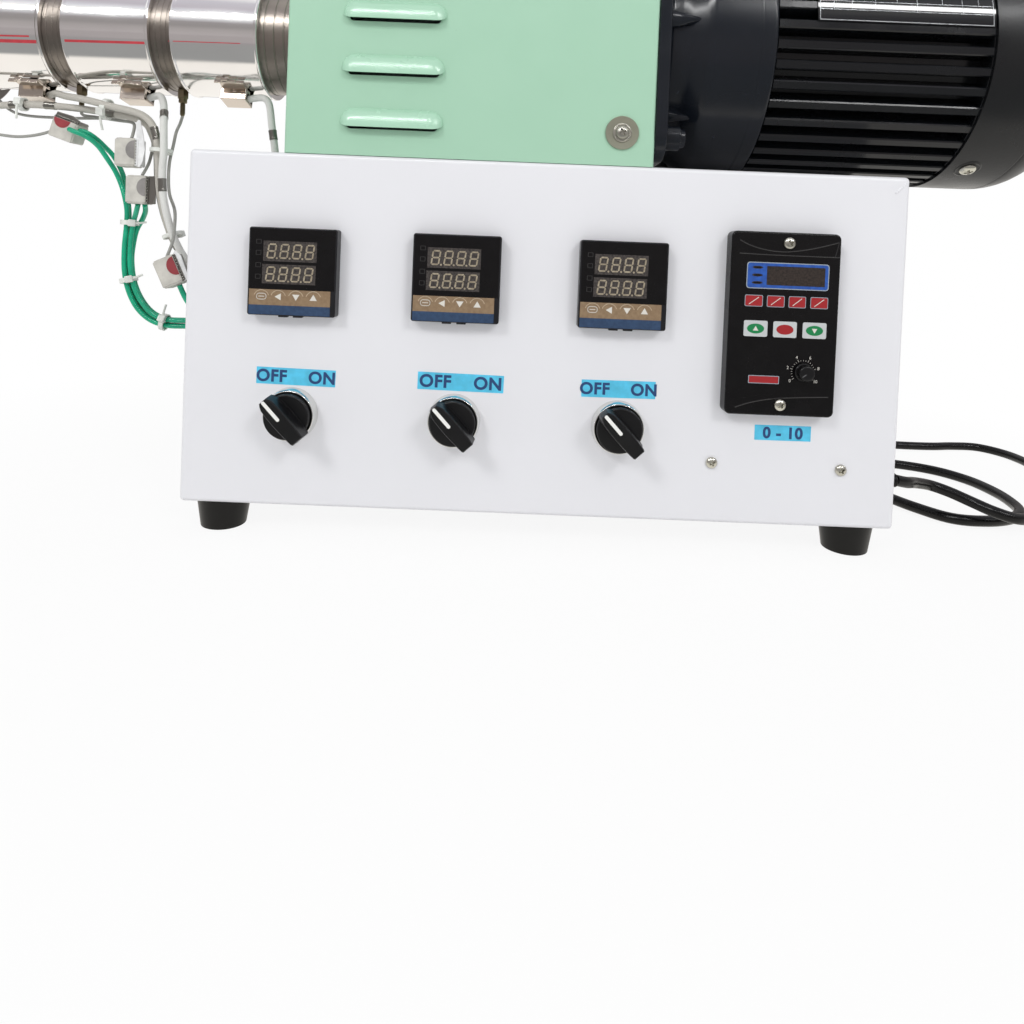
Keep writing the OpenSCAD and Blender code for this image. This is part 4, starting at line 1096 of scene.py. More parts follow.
def finned_outline():
    """The motor body's section. Local X points down, and local Y to the back, where a pad replaces fins."""
    flank = ((CORE_R, 3.1), (CORE_R + 1.6, FIN_W / 2 + 0.15), (FIN_R - 0.7, FIN_W / 2 - 0.1),
             (FIN_R, FIN_W / 2 - 0.75))
    points = []
    for k in range(FINS):
        middle = 360 * (k + 0.75) / FINS - 90
        across, back = polar(FIN_R, middle)
        if back > 0 and abs(across) <= PAD_HALF:
            continue
        points += [polar(r, middle - math.degrees(math.asin(half / r))) for r, half in flank]
        points += [polar(r, middle + math.degrees(math.asin(half / r))) for r, half in reversed(flank)]
    return points


end_bell = lathe(rounded([(0, 0), (73.6, 0), (73.6, 3), (0, 3)], 0.6), 96)
motor = joined((prism(finned_outline(), RIM_X - BODY_X, 0), along_x(BODY_X)),
               (block(119.5, 17, 48, 1), at(BODY_X + 60, 67, AXIS_Z)), (end_bell, along_x(BODY_X + 119.6)))
piece("motor_fins", motor, HERE, FIN_BLACK, slot="motor_black", replaces=["motor_body"], angle=25)

# Nameplate

PLATE_X0, PLATE_X1 = [corner[0] for corner in cad_corners("motor_nameplate")]
PLATE_R, PLATE_T = 75.25, 0.55
PLATE_FROM, PLATE_SPAN, PLATE_STEPS = 3.5, 43.5, 24
LINE_X0, LINE_X1 = PLATE_X0 + 1.0, PLATE_X1 - 1.0


def plate_point(x, degrees, lift):
    """A point on the nameplate, degrees above the front."""
    y, z = polar(PLATE_R + lift, degrees)
    return (x, -y, AXIS_Z + z)


def plate_patch(d, x0, x1, from_deg, to_deg, mat, lift):
    """A curved rectangle on the nameplate."""
    n = max(1, round(abs(to_deg - from_deg) / 3.5))
    for k in range(n):
        t0, t1 = [from_deg + (to_deg - from_deg) * j / n for j in (k, k + 1)]
        d.poly([(x0, t0), (x1, t0), (x1, t1), (x0, t1)], mat, lift)


bm = bmesh.new()
rows = []
for x, lift in ((PLATE_X0, 0), (PLATE_X1, 0), (PLATE_X1, -PLATE_T), (PLATE_X0, -PLATE_T)):
    angles = [PLATE_FROM + PLATE_SPAN * k / PLATE_STEPS for k in range(PLATE_STEPS + 1)]
    rows.append([bm.verts.new(plate_point(x, a, lift)) for a in angles])
skin_rings(bm, rows + rows[:1], False)
for k in (0, PLATE_STEPS):
    bm.faces.new([row[k] for row in rows])
bmesh.ops.recalc_face_normals(bm, faces=bm.faces)
piece("motor_plate", bm, HERE, PLATE, slot="nameplate_black", replaces=["motor_nameplate"])
d = Decals(plate_point, [SILVER, PLATE])
for t0, t1 in ((3.9, 4.25), (46.0, 46.4), (8.6, 8.8), (12.4, 12.6), (16.2, 16.4), (20.0, 20.2), (25.4, 25.6),
               (30.8, 31.0), (36.2, 36.4), (41.0, 41.2)):
    plate_patch(d, LINE_X0, LINE_X1, t0, t1, SILVER, 0.06)
for x0, x1, t0, t1 in ((LINE_X0, LINE_X0 + 0.3, 3.9, 46.4), (LINE_X1 - 0.3, LINE_X1, 3.9, 46.4),
                       (153.0, 153.2, 8.6, 16.2), (163.0, 163.2, 8.6, 20.0), (176.0, 176.2, 8.6, 41.0),
                       (188.0, 188.2, 12.4, 30.8), (199.0, 199.2, 8.6, 25.4), (213.0, 213.2, 12.4, 41.0),
                       (224.0, 224.2, 8.6, 20.0), (233.0, 233.2, 12.4, 36.2)):
    plate_patch(d, x0, x1, t0, t1, SILVER, 0.06)
d.make("motor_plate_lines", angle=60)

# Terminal box

BOX_X = 183.5
gland = lathe(rounded([(0, 0), (8, 0), (8, 8), (6.6, 8), (6.2, 14), (3.4, 14), (3.4, 9), (0, 9)], 0.5), 40)
terminal = joined((block(76, 31, 60, 4, 4), at(BOX_X, 91.2, AXIS_Z)),
                  (block(72, 2.4, 56, 1.1, 2), at(BOX_X, 106.2, AXIS_Z)),
                  (gland, along_x(221.4, 92.5, AXIS_Z)))
piece("motor_terminal_case", terminal, HERE, ENAMEL, slot="motor_black", replaces=["motor_terminal_box"])
flatter = Matrix.Scale(0.45, 4, (0, 0, 1))
screws("motor_terminal_fixings", 6.5, [facing_back(BOX_X + dx, 106.9, AXIS_Z + dz) @ flatter
                                       for dx in (-31, 31) for dz in (-23, 23)])

# Fan cowl

quarter = [90 * k / 14 for k in range(1, 15)]
cowl_line = [(74.2, 0), (75.7, 0), (75.7, 36.8), (75.35, 37.3), (75.35, 38.2), (75.6, 38.8)]
cowl_line += [(polar(29.9, a, 45.7)[0], polar(30, a, 0, 38)[1]) for a in quarter]
cowl_line += [(45.7, 68), (6, 68), (6, 66.5), (45.7, 66.5)]
cowl_line += [polar(28.5, a, 45.7, 38) for a in reversed(quarter)] + [(74.2, 38)]
cowl = piece("fan_cowl_shell", lathe(cowl_line, 160, True), along_x(RIM_X), COWL, slot="cowl_black",
             replaces=["fan_cowl"])
slots = []
for k in range(12):
    slots.append((prism(outline_rect(26, 6, 2.9, 5, 27.5, 0), 20), Matrix.Rotation(k * math.pi / 6, 4, "Z")))
cut(cowl, (joined(*slots), along_x(COWL_END - 10)))
screw_at = [out_of_axis(RIM_X + 13, 75.2, a) for a in (63.6, 153.6, 243.6, 333.6)]
screws("fan_cowl_screws", 9.5, screw_at, ["cowl_screws"])
dimple = rounded([(4.9, 0.2), (6.2, 0.5), (6.6, 0.75), (7.2, 0.6), (8.2, 0.05), (4.9, -0.4)], 0.3)
piece("fan_cowl_dimples", joined(*[(lathe(dimple, 40, True), m) for m in screw_at]), HERE, COWL,
      slot="cowl_black")
hub = rounded([(0, 0), (22, 0), (22, 30), (5, 30), (5, 26), (0, 26)], 1.2)
fan_parts = [(lathe(hub, 48), along_x(RIM_X))]
for k in range(6):
    vane = prism([(-62, -11), (-16, -11), (-16, 11), (-52, 11), (-62, 6)], 2.4, 0.5, 2, True)
    fan_parts.append((vane, at(RIM_X + 20, 0, AXIS_Z) @ Matrix.Rotation(k * math.pi / 3, 4, "X")
                      @ Matrix(((0, 1, 0, 0), (1, 0, 0, 0), (0, 0, 1, -1.2), (0, 0, 0, 1)))))
piece("fan_rotor", joined(*fan_parts), HERE, BLACK, slot="black_plastic", replaces=["cooling_fan"])


# Barrel, heater bands and die

BAND_W, BAND_R, BARREL_R = 53.2, 35.2, 32.0
BAND_T = 3.2
GAP_AT = 200
DIE_X, NOZZLE_X = cad_corners("die_head")[0][0], cad_corners("die_nozzle")[0][0]
rod_line = [(10, BARREL_X0), (BARREL_R - 0.8, BARREL_X0), (BARREL_R, BARREL_X0 + 0.8)]
for x in (-366.2, -310.0, -306.3, -303.0, -243.4, -239.8, -236.4, -176.4, -170.4, -164.4, -158.4, -152.4):
    rod_line += [(BARREL_R, x - 0.5), (31.75, x - 0.25), (31.75, x + 0.25), (BARREL_R, x + 0.5)]
rod_line += [(BARREL_R, BARREL_X1 - 0.8), (BARREL_R - 0.8, BARREL_X1), (10, BARREL_X1)]
piece("barrel_tube", lathe(rod_line, 128, True), along_x(0), BARREL, slot="barrel_steel", replaces=["barrel"],
      angle=40)


def band_profile(w, r):
    """A heater band's section with a rolled bead at each end, from its left end at 0."""
    inner = r - BAND_T
    bead = [(inner + 0.15, 0.2), (inner + 0.4, 0), (r + 0.1, 0), (r + 0.45, 0.35), (r + 0.55, 0.9),
            (r + 0.35, 1.4), (r, 1.8), (r - 0.12, 2.4)]
    return bead + [(r - 0.12, w / 2)] + [(a, w - b) for a, b in reversed(bead)]


def band_box(x, r, angle):
    """The folded steel box that a lead leaves, open to the right, with a strap and a bent tab above it."""
    place = out_of_axis(x, r, angle)
    walls = [((-7.9, 5.8, -0.8), (7.9, 6.5, 7.3)), ((-7.9, -6.5, -0.8), (7.9, -5.8, 7.3)),
             ((-7.9, -6.5, 6.9), (7.9, 6.5, 7.6)), ((-7.9, -6.2, -0.6), (-7.2, 6.2, 7.2)),
             ((7.2, 3.6, 0), (7.9, 6.2, 7.2)), ((7.2, -6.2, 5.4), (7.9, 6.2, 7.2))]
    parts = []
    for low, high in walls:
        size = [b - a for a, b in zip(low, high)]
        centre = [(a + b) / 2 for a, b in zip(low, high)]
        parts.append((block(*size, 0.3, 2), place @ at(*centre)))
    strap = lathe([(r + 0.1, -7.7), (r + 0.8, -7.5), (r + 0.8, 7.5), (r + 0.1, 7.7)], 160, True)
    past = [v for v in strap.verts if not angle - 20 < math.degrees(math.atan2(v.co.x, -v.co.y)) < angle + 2]
    bmesh.ops.delete(strap, geom=past, context="VERTS")
    parts.append((strap, along_x(x)))
    tab = [(-9.8, -0.4), (-9.8, 0.4), (-5.4, 0.4), (-5.0, 2.0), (-1.0, 2.0), (-0.6, 0.8), (3.4, 0.8),
           (3.8, 0.2), (8.4, 0.2), (8.4, -0.6), (3.2, -0.6), (2.8, 0.0), (-1.4, 0.0), (-1.8, 1.2),
           (-4.2, 1.2), (-4.6, -0.4)]
    parts.append((prism(tab, 2.6, 0.12, 2, True), out_of_axis(x, r + 0.9, angle - 21) @ at(0, 0, -0.4)))
    return parts


def heater_band(name, node, w, r, box_x, box_angle):
    """A band, split at its back, with the ears and bolts of its clamp and the box of its lead."""
    x1 = cad_corners(node)[1][0]
    o = piece(name, lathe(band_profile(w, r), 160, True), along_x(x1 - w), BAND, slot="band_steel",
              replaces=[node])
    cut(o, (block(w + 4, 2.2, 12, 0), out_of_axis(x1 - w / 2, r, GAP_AT)))
    bolt = rounded([(0, 0), (2.6, 0), (2.6, 2.2), (0, 2.2)], 0.3)
    ears = []
    for side in (-1, 1):
        for x in (x1 - w * 0.22, x1 - w * 0.78):
            place = out_of_axis(x, r, GAP_AT)
            ears.append((block(9, 1.4, 9, 0.5), place @ at(0, side * 2.6, 3.2)))
            outward = Matrix.Rotation(-side * math.pi / 2, 4, "X")
            ears.append((lathe(bolt, 6), place @ at(0, side * 3.2, 4.2) @ outward))
    piece(name + "_clamp", joined(*ears), HERE, ZINC, slot="zinc_steel")
    piece(name + "_box", joined(*band_box(x1 - box_x, r, box_angle)), HERE, BOX, slot="band_steel")


for k, box_angle in ((1, 75), (2, 82), (3, 85)):
    heater_band(f"band_{k}", f"heater_band_{k}", BAND_W, BAND_R, 20.4, box_angle)
heater_band("band_die", "die_heater_band", 34.0, 39.2, 21.4, 82)

# Thin red lines laid on the fronts of the bands.
red_lines = []
for x, length, angle, slant, width in ((-272.9, 52.0, 19.0, 0.6, 1.5), (-339.6, 52.0, 22.0, 0.6, 2.0),
                                       (-336, 34.0, 17.0, 0.8, 1.0), (-212.0, 44.0, 15.6, 0.3, 0.5)):
    place = out_of_axis(x, BAND_R - 0.12, angle) @ Matrix.Rotation(math.radians(slant), 4, "Z")
    red_lines.append((block(length, width, 0.1, 0), place))
piece("band_red_lines", joined(*red_lines), HERE, RED_LINE, slot="band_steel")

die_line = rounded([(4.5, 0), (34.5, 0), (36, 1.5), (36, 50), (46, 50), (47, 51), (47, 64), (46, 65),
                    (4.5, 65)], 0.4)
piece("die_block", lathe(die_line, 128, True), along_x(DIE_X), DIE, slot="cast_grey", replaces=["die_head"])
collar = rounded([(1.5, 0), (7.2, 0), (8, 1), (8, 8.3), (1.5, 8.3)], 0.5)
nozzle = joined((prism(circle(11, 6), 16, 0.8), along_x(DIE_X - 16)),
                (lathe(collar, 40, True), along_x(NOZZLE_X)))
tip = piece("die_tip", nozzle, HERE, BRASS, slot="brass", replaces=["die_nozzle"])
cut(tip, (rod(1.5, 0, 30, 24), along_x(NOZZLE_X - 1.8)))
bolt = rounded([(0, 0), (4, 0), (4, 5), (0, 5)], 0.5)
bolts, sockets = [], []
for k in range(6):
    y, z = polar(41, 60 * k)
    bolts.append((lathe(bolt, 32), along_x(DIE_X + 45, -y, AXIS_Z - z)))
    sockets.append((prism(circle(2.1, 6), 3), along_x(DIE_X + 44, -y, AXIS_Z - z)))
fixings = piece("die_fixings", joined(*bolts), HERE, ZINC, slot="zinc_steel", replaces=["die_bolts"])
cut(fixings, (joined(*sockets), HERE))

# Thermocouple probes

stem = rounded([(0, 0), (2.6, 5.4), (2.6, 8.2), (1.3, 8.8), (1.3, 16.4), (0.9, 17), (0, 17)], 0.3)
probes = []
for x, r, angle in ((-239.85, 32, 90), (-306.35, 32, 90), (-400.7, 36, 90), (-400.7, 36, 150)):
    place = out_of_axis(x, r, angle)
    probes.append((prism(circle(3.5, 6), 5.6, 0.4), place))
    probes.append((lathe(stem, 28), place))
    coil = [(1.45 * math.cos(k * 0.7), 1.45 * math.sin(k * 0.7), 9.0 + k * 0.072) for k in range(95)]
    probes.append((tube_mesh([place @ Vector(p) for p in coil], 0.25, 6), HERE))
piece("probe_set", joined(*probes), HERE, PROBE, slot="brass", replaces=["thermocouples"])


# Leads: each follows its route from the CAD model

ENTRY_X = -203.0
TOP_ENTRY = (-169.5, -24)
LEADS = [
    [[-192.3, -10.2, 256.4], [-183, -13, 257], [-178, -16.5, 254], [-175, -20.5, 248], [-172.5, -24, 238],
     [-170.5, -24, 226], [TOP_ENTRY[0], -24, 219]],
    [[-258.8, -5.5, 255.5], [-251, -9, 256.5], [-246, -14, 252.5], [-241.5, -21, 245], [-238, -28, 234],
     [-236.5, -30, 219], [-237, -30, 207], [-236.5, -30, 194.5], [-234.5, -30, 183.5], [-231.5, -30, 173],
     [-228, -30, 164], [-221, -30, 152.5], [-212, -30, 144.5], [ENTRY_X, -30, 142]],
    [[-325.3, -3.4, 255.2], [-318, -8, 255.5], [-308.5, -14, 253], [-295, -20, 250.5], [-283.5, -24, 248],
     [-272.5, -24, 245.5], [-261.5, -24, 243.5], [-253.5, -24, 241], [-248, -24, 236.5], [-245, -24, 230],
     [-243.5, -24, 222], [-242.5, -24, 210], [-241.5, -24, 196], [-239, -24, 184.5], [-235.5, -24, 173],
     [-231.5, -24, 163.5], [-223, -24, 151], [-213, -24, 143], [ENTRY_X, -24, 140]],
    [[-419.5, -6, 251.5], [-410, -9, 250], [-396, -13, 247], [-376, -14, 245.5], [-356, -14, 245],
     [-334, -14, 246.5], [-314.5, -14, 246.3], [-295.5, -14, 245], [-277, -16, 242.5], [-262, -18, 240],
     [-254, -18, 236.5], [-250.5, -18, 231], [-248.5, -16.5, 224], [-248.7, -13.5, 215.5],
     [-249.3, -11.3, 206], [-248.3, -11, 195.5], [-245.5, -12, 185], [-240.5, -15, 174],
     [-234, -18, 162.5], [-224.5, -18, 149], [-213.5, -18, 140.5], [ENTRY_X, -18, 138]]]
COUPLES = [
    [[-239.85, 0, 245.4], [-240.2, -2, 240.5], [-239.8, -8, 233.5], [-239, -13, 224], [-238.5, -18, 214],
     [-237.5, -21, 203], [-236, -22, 192.5], [-231, -25, 182.5], [-226, -35, 172], [-224, -41, 163],
     [-226.1, -43, 154]],
    [[-400.7, 0, 241.4], [-397, -2, 236.5], [-384, -6, 232], [-367, -9, 229], [-351, -11, 227],
     [-340, -11, 226.3], [-329, -10.5, 227.8], [-320, -9, 231], [-313.1, -7.5, 235.1]],
    [[-306.35, 0, 245.4], [-303, -3, 243], [-292, -7, 241.5], [-277, -9.5, 239.5], [-266, -13, 238],
     [-261.5, -18, 234.5], [-261.3, -21, 227]],
    [[-400.7, 45.9, 268], [-398.5, 48, 264], [-386, 42, 254], [-360, 24, 246], [-320, 10, 243],
     [-285, 3, 243], [-264, -5, 242], [-255.5, -10.5, 235.5], [-253, -11, 226], [-252.8, -13.5, 217],
     [-252.5, -17.5, 210.5], [-254, -21, 204]]]
GREENS = [
    [[-300.6, -21.1, 230.8], [-297, -23, 229.5], [-292.5, -22.5, 228], [-288.5, -19.5, 225.5],
     [-285.5, -15, 221.5], [-282.5, -11, 215], [-278.5, -8.5, 207.5], [-274.5, -8.5, 199.5],
     [-271, -10, 191.5], [-268.5, -11, 182], [-268.5, -11, 172], [-269.5, -11, 157], [-269, -11, 142.5],
     [-266, -11, 130], [-260, -11, 119], [-251, -11, 111.5], [-240, -11, 108.5], [-227, -11, 108.5],
     [ENTRY_X, -11, 108.5]],
    [[-296.8, -16.4, 230.8], [-293.5, -18.3, 230.3], [-290, -17.3, 228.8], [-287.5, -13, 226],
     [-286, -7.5, 222.5], [-283, -3.8, 218], [-279.5, -2.8, 212], [-276, -3.2, 205], [-272.8, -4.5, 196],
     [-270.3, -6.3, 187], [-269, -7.3, 177], [-269.7, -7.3, 164], [-270.2, -7.3, 150], [-268.5, -7.3, 136],
     [-263.5, -7.3, 123.5], [-255.5, -7.3, 114], [-245, -7.3, 109], [-229, -7.3, 108.5],
     [ENTRY_X, -7.3, 108.5]],
    [[-256.2, -21, 185.4], [-259, -17.5, 181], [-263, -12.5, 175.5], [-265, -11, 168], [-265.7, -11, 157],
     [-265.2, -11, 144.5], [-262.3, -11, 132.5], [-256.8, -11, 122.5], [-249, -11, 115],
     [-239, -11, 112.2], [-227, -11, 112.2], [ENTRY_X, -11, 112.2]],
    [[-251.8, -21, 185.4], [-254.5, -15, 181.5], [-259.5, -8.8, 176.5], [-264, -7.3, 169],
     [-266, -7.3, 158], [-266.4, -7.3, 149], [-264.6, -7.3, 137], [-260, -7.3, 126], [-252.5, -7.3, 117],
     [-242.5, -7.3, 112.5], [-229, -7.3, 112.2], [ENTRY_X, -7.3, 112.2]],
    [[-218.1, -43, 137], [-214.5, -41, 128], [-209.5, -39, 121.5], [ENTRY_X, -37, 119]]]

for name, routes, radius, sides, look, slot, replaced in (
        ("leads_pale", LEADS[:2], 2.2, 20, SLEEVE, "lead_sleeve", ["heater_leads"]),
        ("leads_grey", LEADS[2:], 2.2, 20, SLEEVE_DARK, "lead_sleeve", []),
        ("couples", COUPLES, 0.95, 12, SHEATH, "couple_sheath", ["thermocouple_leads"]),
        ("greens", GREENS, 1.55, 16, GREEN_WIRE, "green_wire", ["green_leads"])):
    tubes = [(tube_mesh(spline(route, 2.5), radius, sides), HERE) for route in routes]
    piece(name, joined(*tubes), HERE, look, slot=slot, replaces=replaced)


def route_frame(route, share):
    """A place on a route, with local Z along it."""
    points = spline(route, 1.5)
    i = min(len(points) - 2, max(1, round(share * (len(points) - 1))))
    heading = (points[i + 1] - points[i - 1]).normalized()
    return Matrix.Translation(points[i]) @ heading.to_track_quat("Z", "Y").to_matrix().to_4x4()


# Steel ferrules crimped on the leads

ferrules = []
for lead, share, length in ((0, 0.76, 6), (1, 0.22, 6), (1, 0.53, 8), (2, 0.47, 8), (2, 0.84, 9),
                            (3, 0.285, 10), (3, 0.36, 7), (3, 0.50, 8)):
    end = [(2.3, -length / 2), (2.5, -length / 2), (2.5, -length / 2 + 1.2), (2.42, -length / 2 + 1.5)]
    line = rounded(end + [(r, -h) for r, h in reversed(end)], 0.15)
    ferrules.append((lathe(line, 24, True), route_frame(LEADS[lead], share)))
piece("lead_ferrules", joined(*ferrules), HERE, FERRULE, slot="band_steel")

# Connectors: centre, lean and turn in degrees, window, clip, and the steel or plastic wing's outline

CONNECTORS = (
    ((-306, -13, 232), -72, -6, RED, FERRULE, FERRULE,
     [(5.2, 8.6), (8.6, 8.0), (9.2, -3.0), (7.6, -8.6), (5.4, -8.8)]),
    ((-261.5, -21, 217.5), 0, 0, DULL_GREY, SHINE, SHINE,
     [(4.6, 18.5), (6.2, 20.5), (7.4, 20.0), (9.6, 10.8), (10.8, 2.0), (9.4, -6.0), (7.6, -9.2), (5.4, -8.6),
      (5.4, 8.2)]),
    ((-254, -21, 194.5), 0, 0, DULL_GREY, FERRULE, FERRULE,
     [(5.2, 8.6), (9.8, 8.8), (10.6, -2.0), (9.4, -8.8), (5.4, -8.8)]),
    ((-222, -43, 145.5), -25, 0, RED, FERRULE, SHINE,
     [(5.2, 8.6), (7.4, 10.4), (9.4, 6.0), (8.6, -8.4), (5.4, -8.8)]))
for k, (centre, lean, turn, window, clip, strip, wing) in enumerate(CONNECTORS, 1):
    place = at(*centre) @ Euler((0, math.radians(lean), math.radians(turn))).to_matrix().to_4x4()
    body = joined((block(12.6, 11.6, 16.2, 0.7, 3), at(-1.1)), (block(11.4, 10.4, 17.6, 0.6, 3), at(-1.1)),
                  (block(2.4, 9.2, 17.9, 0.4), at(-4.4)), (block(2.4, 9.2, 17.9, 0.4), at(1.6)))
    piece(f"junction_{k}", body, place, IVORY, slot="connector_ivory", replaces=[f"wire_connector_{k}"])
    moon = [(5.4 * a, 5.7 * b) for a, b in arc(0, 0, 1, 90, 270, 20)]
    piece(f"junction_{k}_window", prism(moon, 0.35, 0.1), place @ facing_front(5.1, -5.75, 1.6), window)
    ridges = [(block(1.0, 10.4, 1.0, 0.3), at(5.6, 0, -7.9 + 1.75 * j)) for j in range(10)]
    ridges.append((block(1.0, 9.6, 16.4, 0.3), at(6.2, 0, 0)))
    piece(f"junction_{k}_clip", joined(*ridges), place, clip)
    piece(f"junction_{k}_wing", prism(wing, 0.8, 0.25, 2, True), place @ facing_front(0, -3.4, 0), strip)

# Cable ties


def tie(x, z, y, r, w, lean, spin, tail=9.0):
    """A tie round a bundle that runs along local Z, its head at the front and its tail cut short."""
    place = at(x, y, z) @ Matrix.Rotation(lean, 4, "Y") @ Matrix.Rotation(spin, 4, "Z")
    loop = rounded([(r, -w / 2), (r + 0.9, -w / 2), (r + 0.9, w / 2), (r, w / 2)], 0.3)
    route = [place @ Vector(p) for p in ((1.5, -r - 1.2, 0), (4.5, -r - 1.9, 0.2), (tail, -r - 1.2, 1.2))]
    return [(lathe(loop, 28, True), place), (block(4.4, 3.4, w + 1.4, 0.5), place @ at(0.6, -r - 1.4, 0)),
            (tube_mesh(spline(route, 1.5), 0.7, 8), HERE)]


ties = [tie(-267, 174, -9.2, 5.0, 3.0, 0.05, 0.5), tie(-267, 137, -9.2, 4.6, 3.0, -0.25, 0.4),
        tie(-243, 110.5, -9.2, 4.6, 3.0, -1.35, 0.4, 10), tie(-241.0, 219.5, -24, 5.8, 2.4, 0.05, 2.9),
        tie(-232.0, 167, -24.5, 5.2, 2.4, -0.35, 2.7), tie(-278, 244.5, -20, 5.6, 3.2, 1.72, 0.3, 12),
        tie(-335, 246.5, -14, 3.4, 3.2, 1.55, -0.3, 12)]
piece("cable_ties", joined(*sum(ties, [])), HERE, NYLON)

# Entries of the leads and the cord

_, bush_y, bush_z = cad_middle("side_grommet")
grommet = joined((block(3, 40, 48, 1.2, 3), at(-HALF_W - 1.5, bush_y, bush_z)),
                 (block(3.4, 35.4, 43.4, 0.6), at(-HALF_W + 1.5, bush_y, bush_z)))
piece("side_bush", grommet, HERE, GROMMET, slot="dark_rubber", replaces=["side_grommet"])
bush = lathe(rounded([(2.0, -4), (3.9, -4), (3.9, 0), (7, 0), (6.6, 2.4), (4.6, 4), (2.3, 4)], 0.5), 40, True)
piece("top_bush", bush, at(*TOP_ENTRY, TOP_Z), GROMMET, slot="dark_rubber", replaces=["top_gland"])
boot = [(3.5, -7), (5.4, -7), (5.4, 0), (7, 0), (7, 2.2), (6.0, 3.2)]
for k in range(5):
    x, r = 4.2 + k * 3.6, 5.9 - 0.34 * k
    boot += [(r, x), (r, x + 1.9), (r - 0.9, x + 2.2), (r - 0.9, x + 3.3)]
boot += [(4.4, 23.4), (4.0, 24), (3.5, 24)]
piece("cord_boot", lathe(rounded(boot, 0.35), 40, True), along_x(HALF_W, *cord_route[0][1:]), CABLE,
      slot="cord_black", replaces=["cord_gland"])


# Floor, lights and surroundings

def light(name, place, target, side, power):
    """A square lamp at place that shines on target and doesn't show in reflections."""
    data = bpy.data.lights.new(name, "AREA")
    data.shape = "RECTANGLE"
    data.size, data.size_y = side, side
    data.energy = power
    o = add(name, data)
    o.location = place
    o.rotation_euler = (Vector(target) - Vector(place)).to_track_quat("-Z", "Y").to_euler()
    o.visible_camera = False
    o.visible_glossy = False


def by_ray(tree, plain, mirrored, seen):
    """One shader for glossy rays, one for camera rays, and the plain one for all others."""
    path = tree.nodes.new("ShaderNodeLightPath")
    made = plain
    for kind, shader in (("Is Glossy Ray", mirrored), ("Is Camera Ray", seen)):
        mix = tree.nodes.new("ShaderNodeMixShader")
        tree.links.new(path.outputs[kind], mix.inputs["Fac"])
        tree.links.new(made, mix.inputs[1])
        tree.links.new(shader, mix.inputs[2])
        made = mix.outputs["Shader"]
    return made


def sheet(name, corners, faces, hidden_from=()):
    """A flat object with a material of its own, whose empty node tree this returns."""
    mesh = bpy.data.meshes.new(name)
    mesh.from_pydata(corners, [], faces)
    look = bpy.data.materials.new(name)
    look.use_nodes = True
    look.node_tree.nodes.clear()
    mesh.materials.append(look)
    o = add(name, mesh)
    for kind in hidden_from:
        setattr(o, "visible_" + kind, False)
    return look.node_tree


def one_axis(tree, kind, axis):
    """One axis of the texture coordinates."""
    where = tree.nodes.new("ShaderNodeTexCoord")
    split = tree.nodes.new("ShaderNodeSeparateXYZ")
    tree.links.new(where.outputs[kind], split.inputs["Vector"])
    return split.outputs[axis]


centre = metres((0, -40, 200))
light("light_left", centre + Vector((-1.1, -1.5, 1.2)), centre, 0.5, 11)
light("light_right", centre + Vector((1.0, -1.6, 1.1)), centre, 0.5, 10)

# The floor: white where it is seen, with a trace of the object's shadow near it. In reflections it is grey
# in front of the object and white behind it.

tree = sheet("floor", [(-9, -9, 0), (9, -9, 0), (9, 9, 0), (-9, 9, 0)], [(0, 1, 2, 3)])
lit = tree.nodes.new("ShaderNodeBsdfDiffuse")
lit.inputs["Color"].default_value = (0.92, 0.92, 0.92, 1)
glow = tree.nodes.new("ShaderNodeEmission")
away = tree.nodes.new("ShaderNodeVectorMath")
away.operation = "DISTANCE"
away.inputs[1].default_value = (MIDDLE.x, MIDDLE.y, 0)
where = tree.nodes.new("ShaderNodeTexCoord")
tree.links.new(where.outputs["Object"], away.inputs[0])
seen = tree.nodes.new("ShaderNodeMixShader")
tree.links.new(spread(tree, away.outputs["Value"], 0.30, 0.62, 0.90), seen.inputs["Fac"])
tree.links.new(lit.outputs["BSDF"], seen.inputs[1])
tree.links.new(glow.outputs["Emission"], seen.inputs[2])
mirrored = tree.nodes.new("ShaderNodeEmission")
far = ramp(tree, spread(tree, one_axis(tree, "Object", "Y"), -1.2, 0.2),
           [(0.0, srgb(172, 166, 166)), (0.15, srgb(160, 155, 156)), (0.34, srgb(156, 156, 155)),
            (0.725, srgb(156, 157, 156)), (0.755, srgb(254, 250, 243)), (1.0, srgb(255, 252, 246))])
tree.links.new(far, mirrored.inputs["Color"])
out = tree.nodes.new("ShaderNodeOutputMaterial")
shader = by_ray(tree, lit.outputs["BSDF"], mirrored.outputs["Emission"], seen.outputs["Shader"])
tree.links.new(shader, out.inputs["Surface"])

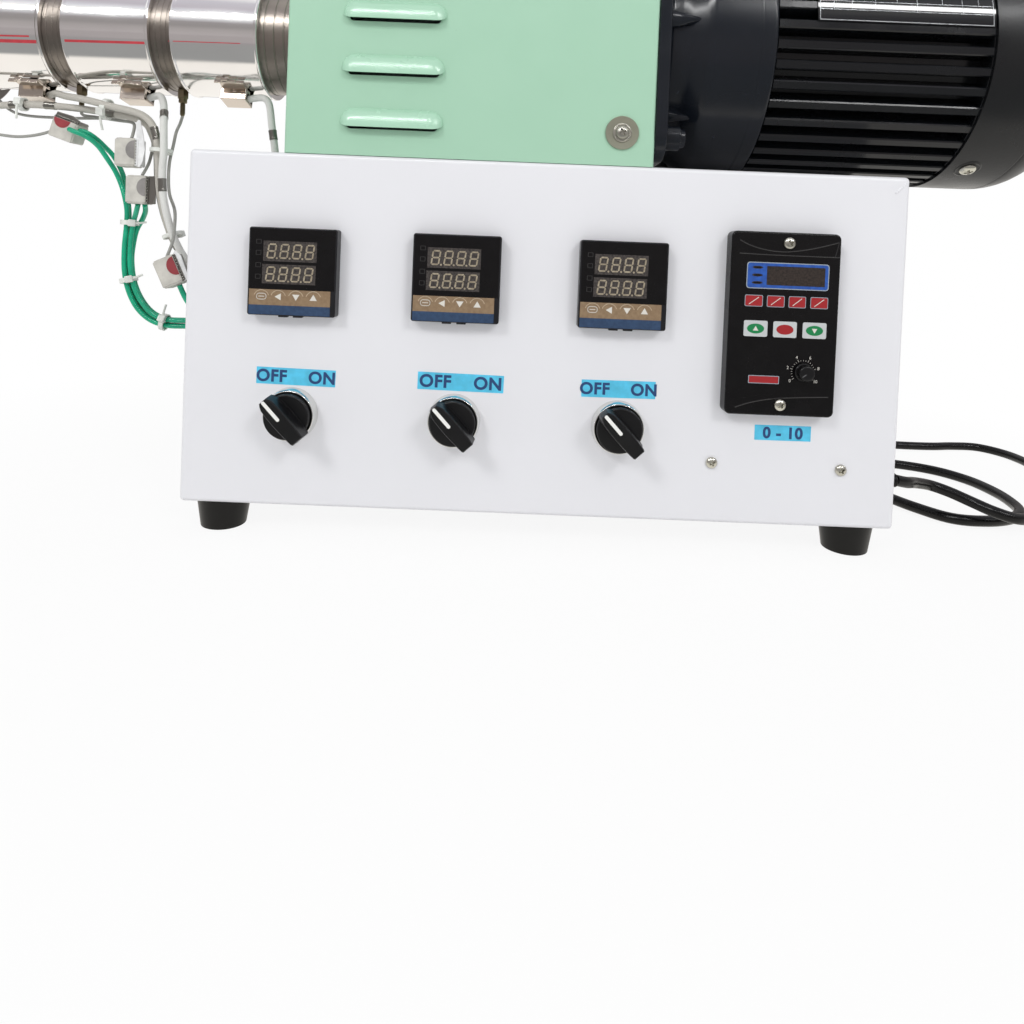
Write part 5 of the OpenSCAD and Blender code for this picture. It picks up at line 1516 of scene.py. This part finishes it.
# Two lengths of a long bright card over the front, which show only in reflections

card_ends = (-1.6, 0.2, 0.95, 2.5)
tree = sheet("lamp_card", [(x, y, z) for y, z in ((-1.65, 1.62), (-1.56, 1.75)) for x in card_ends],
             [(0, 1, 5, 4), (2, 3, 7, 6)], ("camera", "diffuse", "shadow", "transmission"))
glow = tree.nodes.new("ShaderNodeEmission")
glow.inputs["Strength"].default_value = 26
out = tree.nodes.new("ShaderNodeOutputMaterial")
tree.links.new(glow.outputs["Emission"], out.inputs["Surface"])

# The world: white where it is seen, plain light on the object, and a room's bands of grey in reflections

world = bpy.data.worlds.new("surroundings")
bpy.context.scene.world = world
world.use_nodes = True
tree = world.node_tree
tree.nodes.clear()
plain, ambient, mirror_sky = [tree.nodes.new("ShaderNodeBackground") for _ in range(3)]
for background, strength in ((plain, 1.0), (ambient, 0.66), (mirror_sky, 1.0)):
    background.inputs["Color"].default_value = (1, 1, 1, 1)
    background.inputs["Strength"].default_value = strength
sky = ramp(tree, spread(tree, one_axis(tree, "Generated", "Z"), -1, 1),
           [(0.0, srgb(176, 171, 172)), (0.50, srgb(180, 174, 174)), (0.578, srgb(170, 165, 164)),
            (0.63, srgb(152, 148, 147)), (0.69, srgb(156, 152, 152)), (0.735, srgb(212, 212, 216)),
            (0.755, srgb(255, 255, 255)), (0.805, srgb(255, 255, 255)), (0.84, srgb(225, 226, 232)),
            (0.885, srgb(196, 191, 199)), (0.945, srgb(206, 204, 212)), (0.97, srgb(255, 255, 255)),
            (1.0, srgb(255, 255, 255))])
tree.links.new(sky, mirror_sky.inputs["Color"])
out = tree.nodes.new("ShaderNodeOutputWorld")
shader = by_ray(tree, ambient.outputs["Background"], mirror_sky.outputs["Background"],
                plain.outputs["Background"])
tree.links.new(shader, out.inputs["Surface"])
bpy.context.scene.view_settings.view_transform = "Standard"


for o in PIECES:
    step = o.modifiers.new("normals", "WEIGHTED_NORMAL")
    step.keep_sharp = True
    step.weight = 80

bpy.context.view_layer.update()
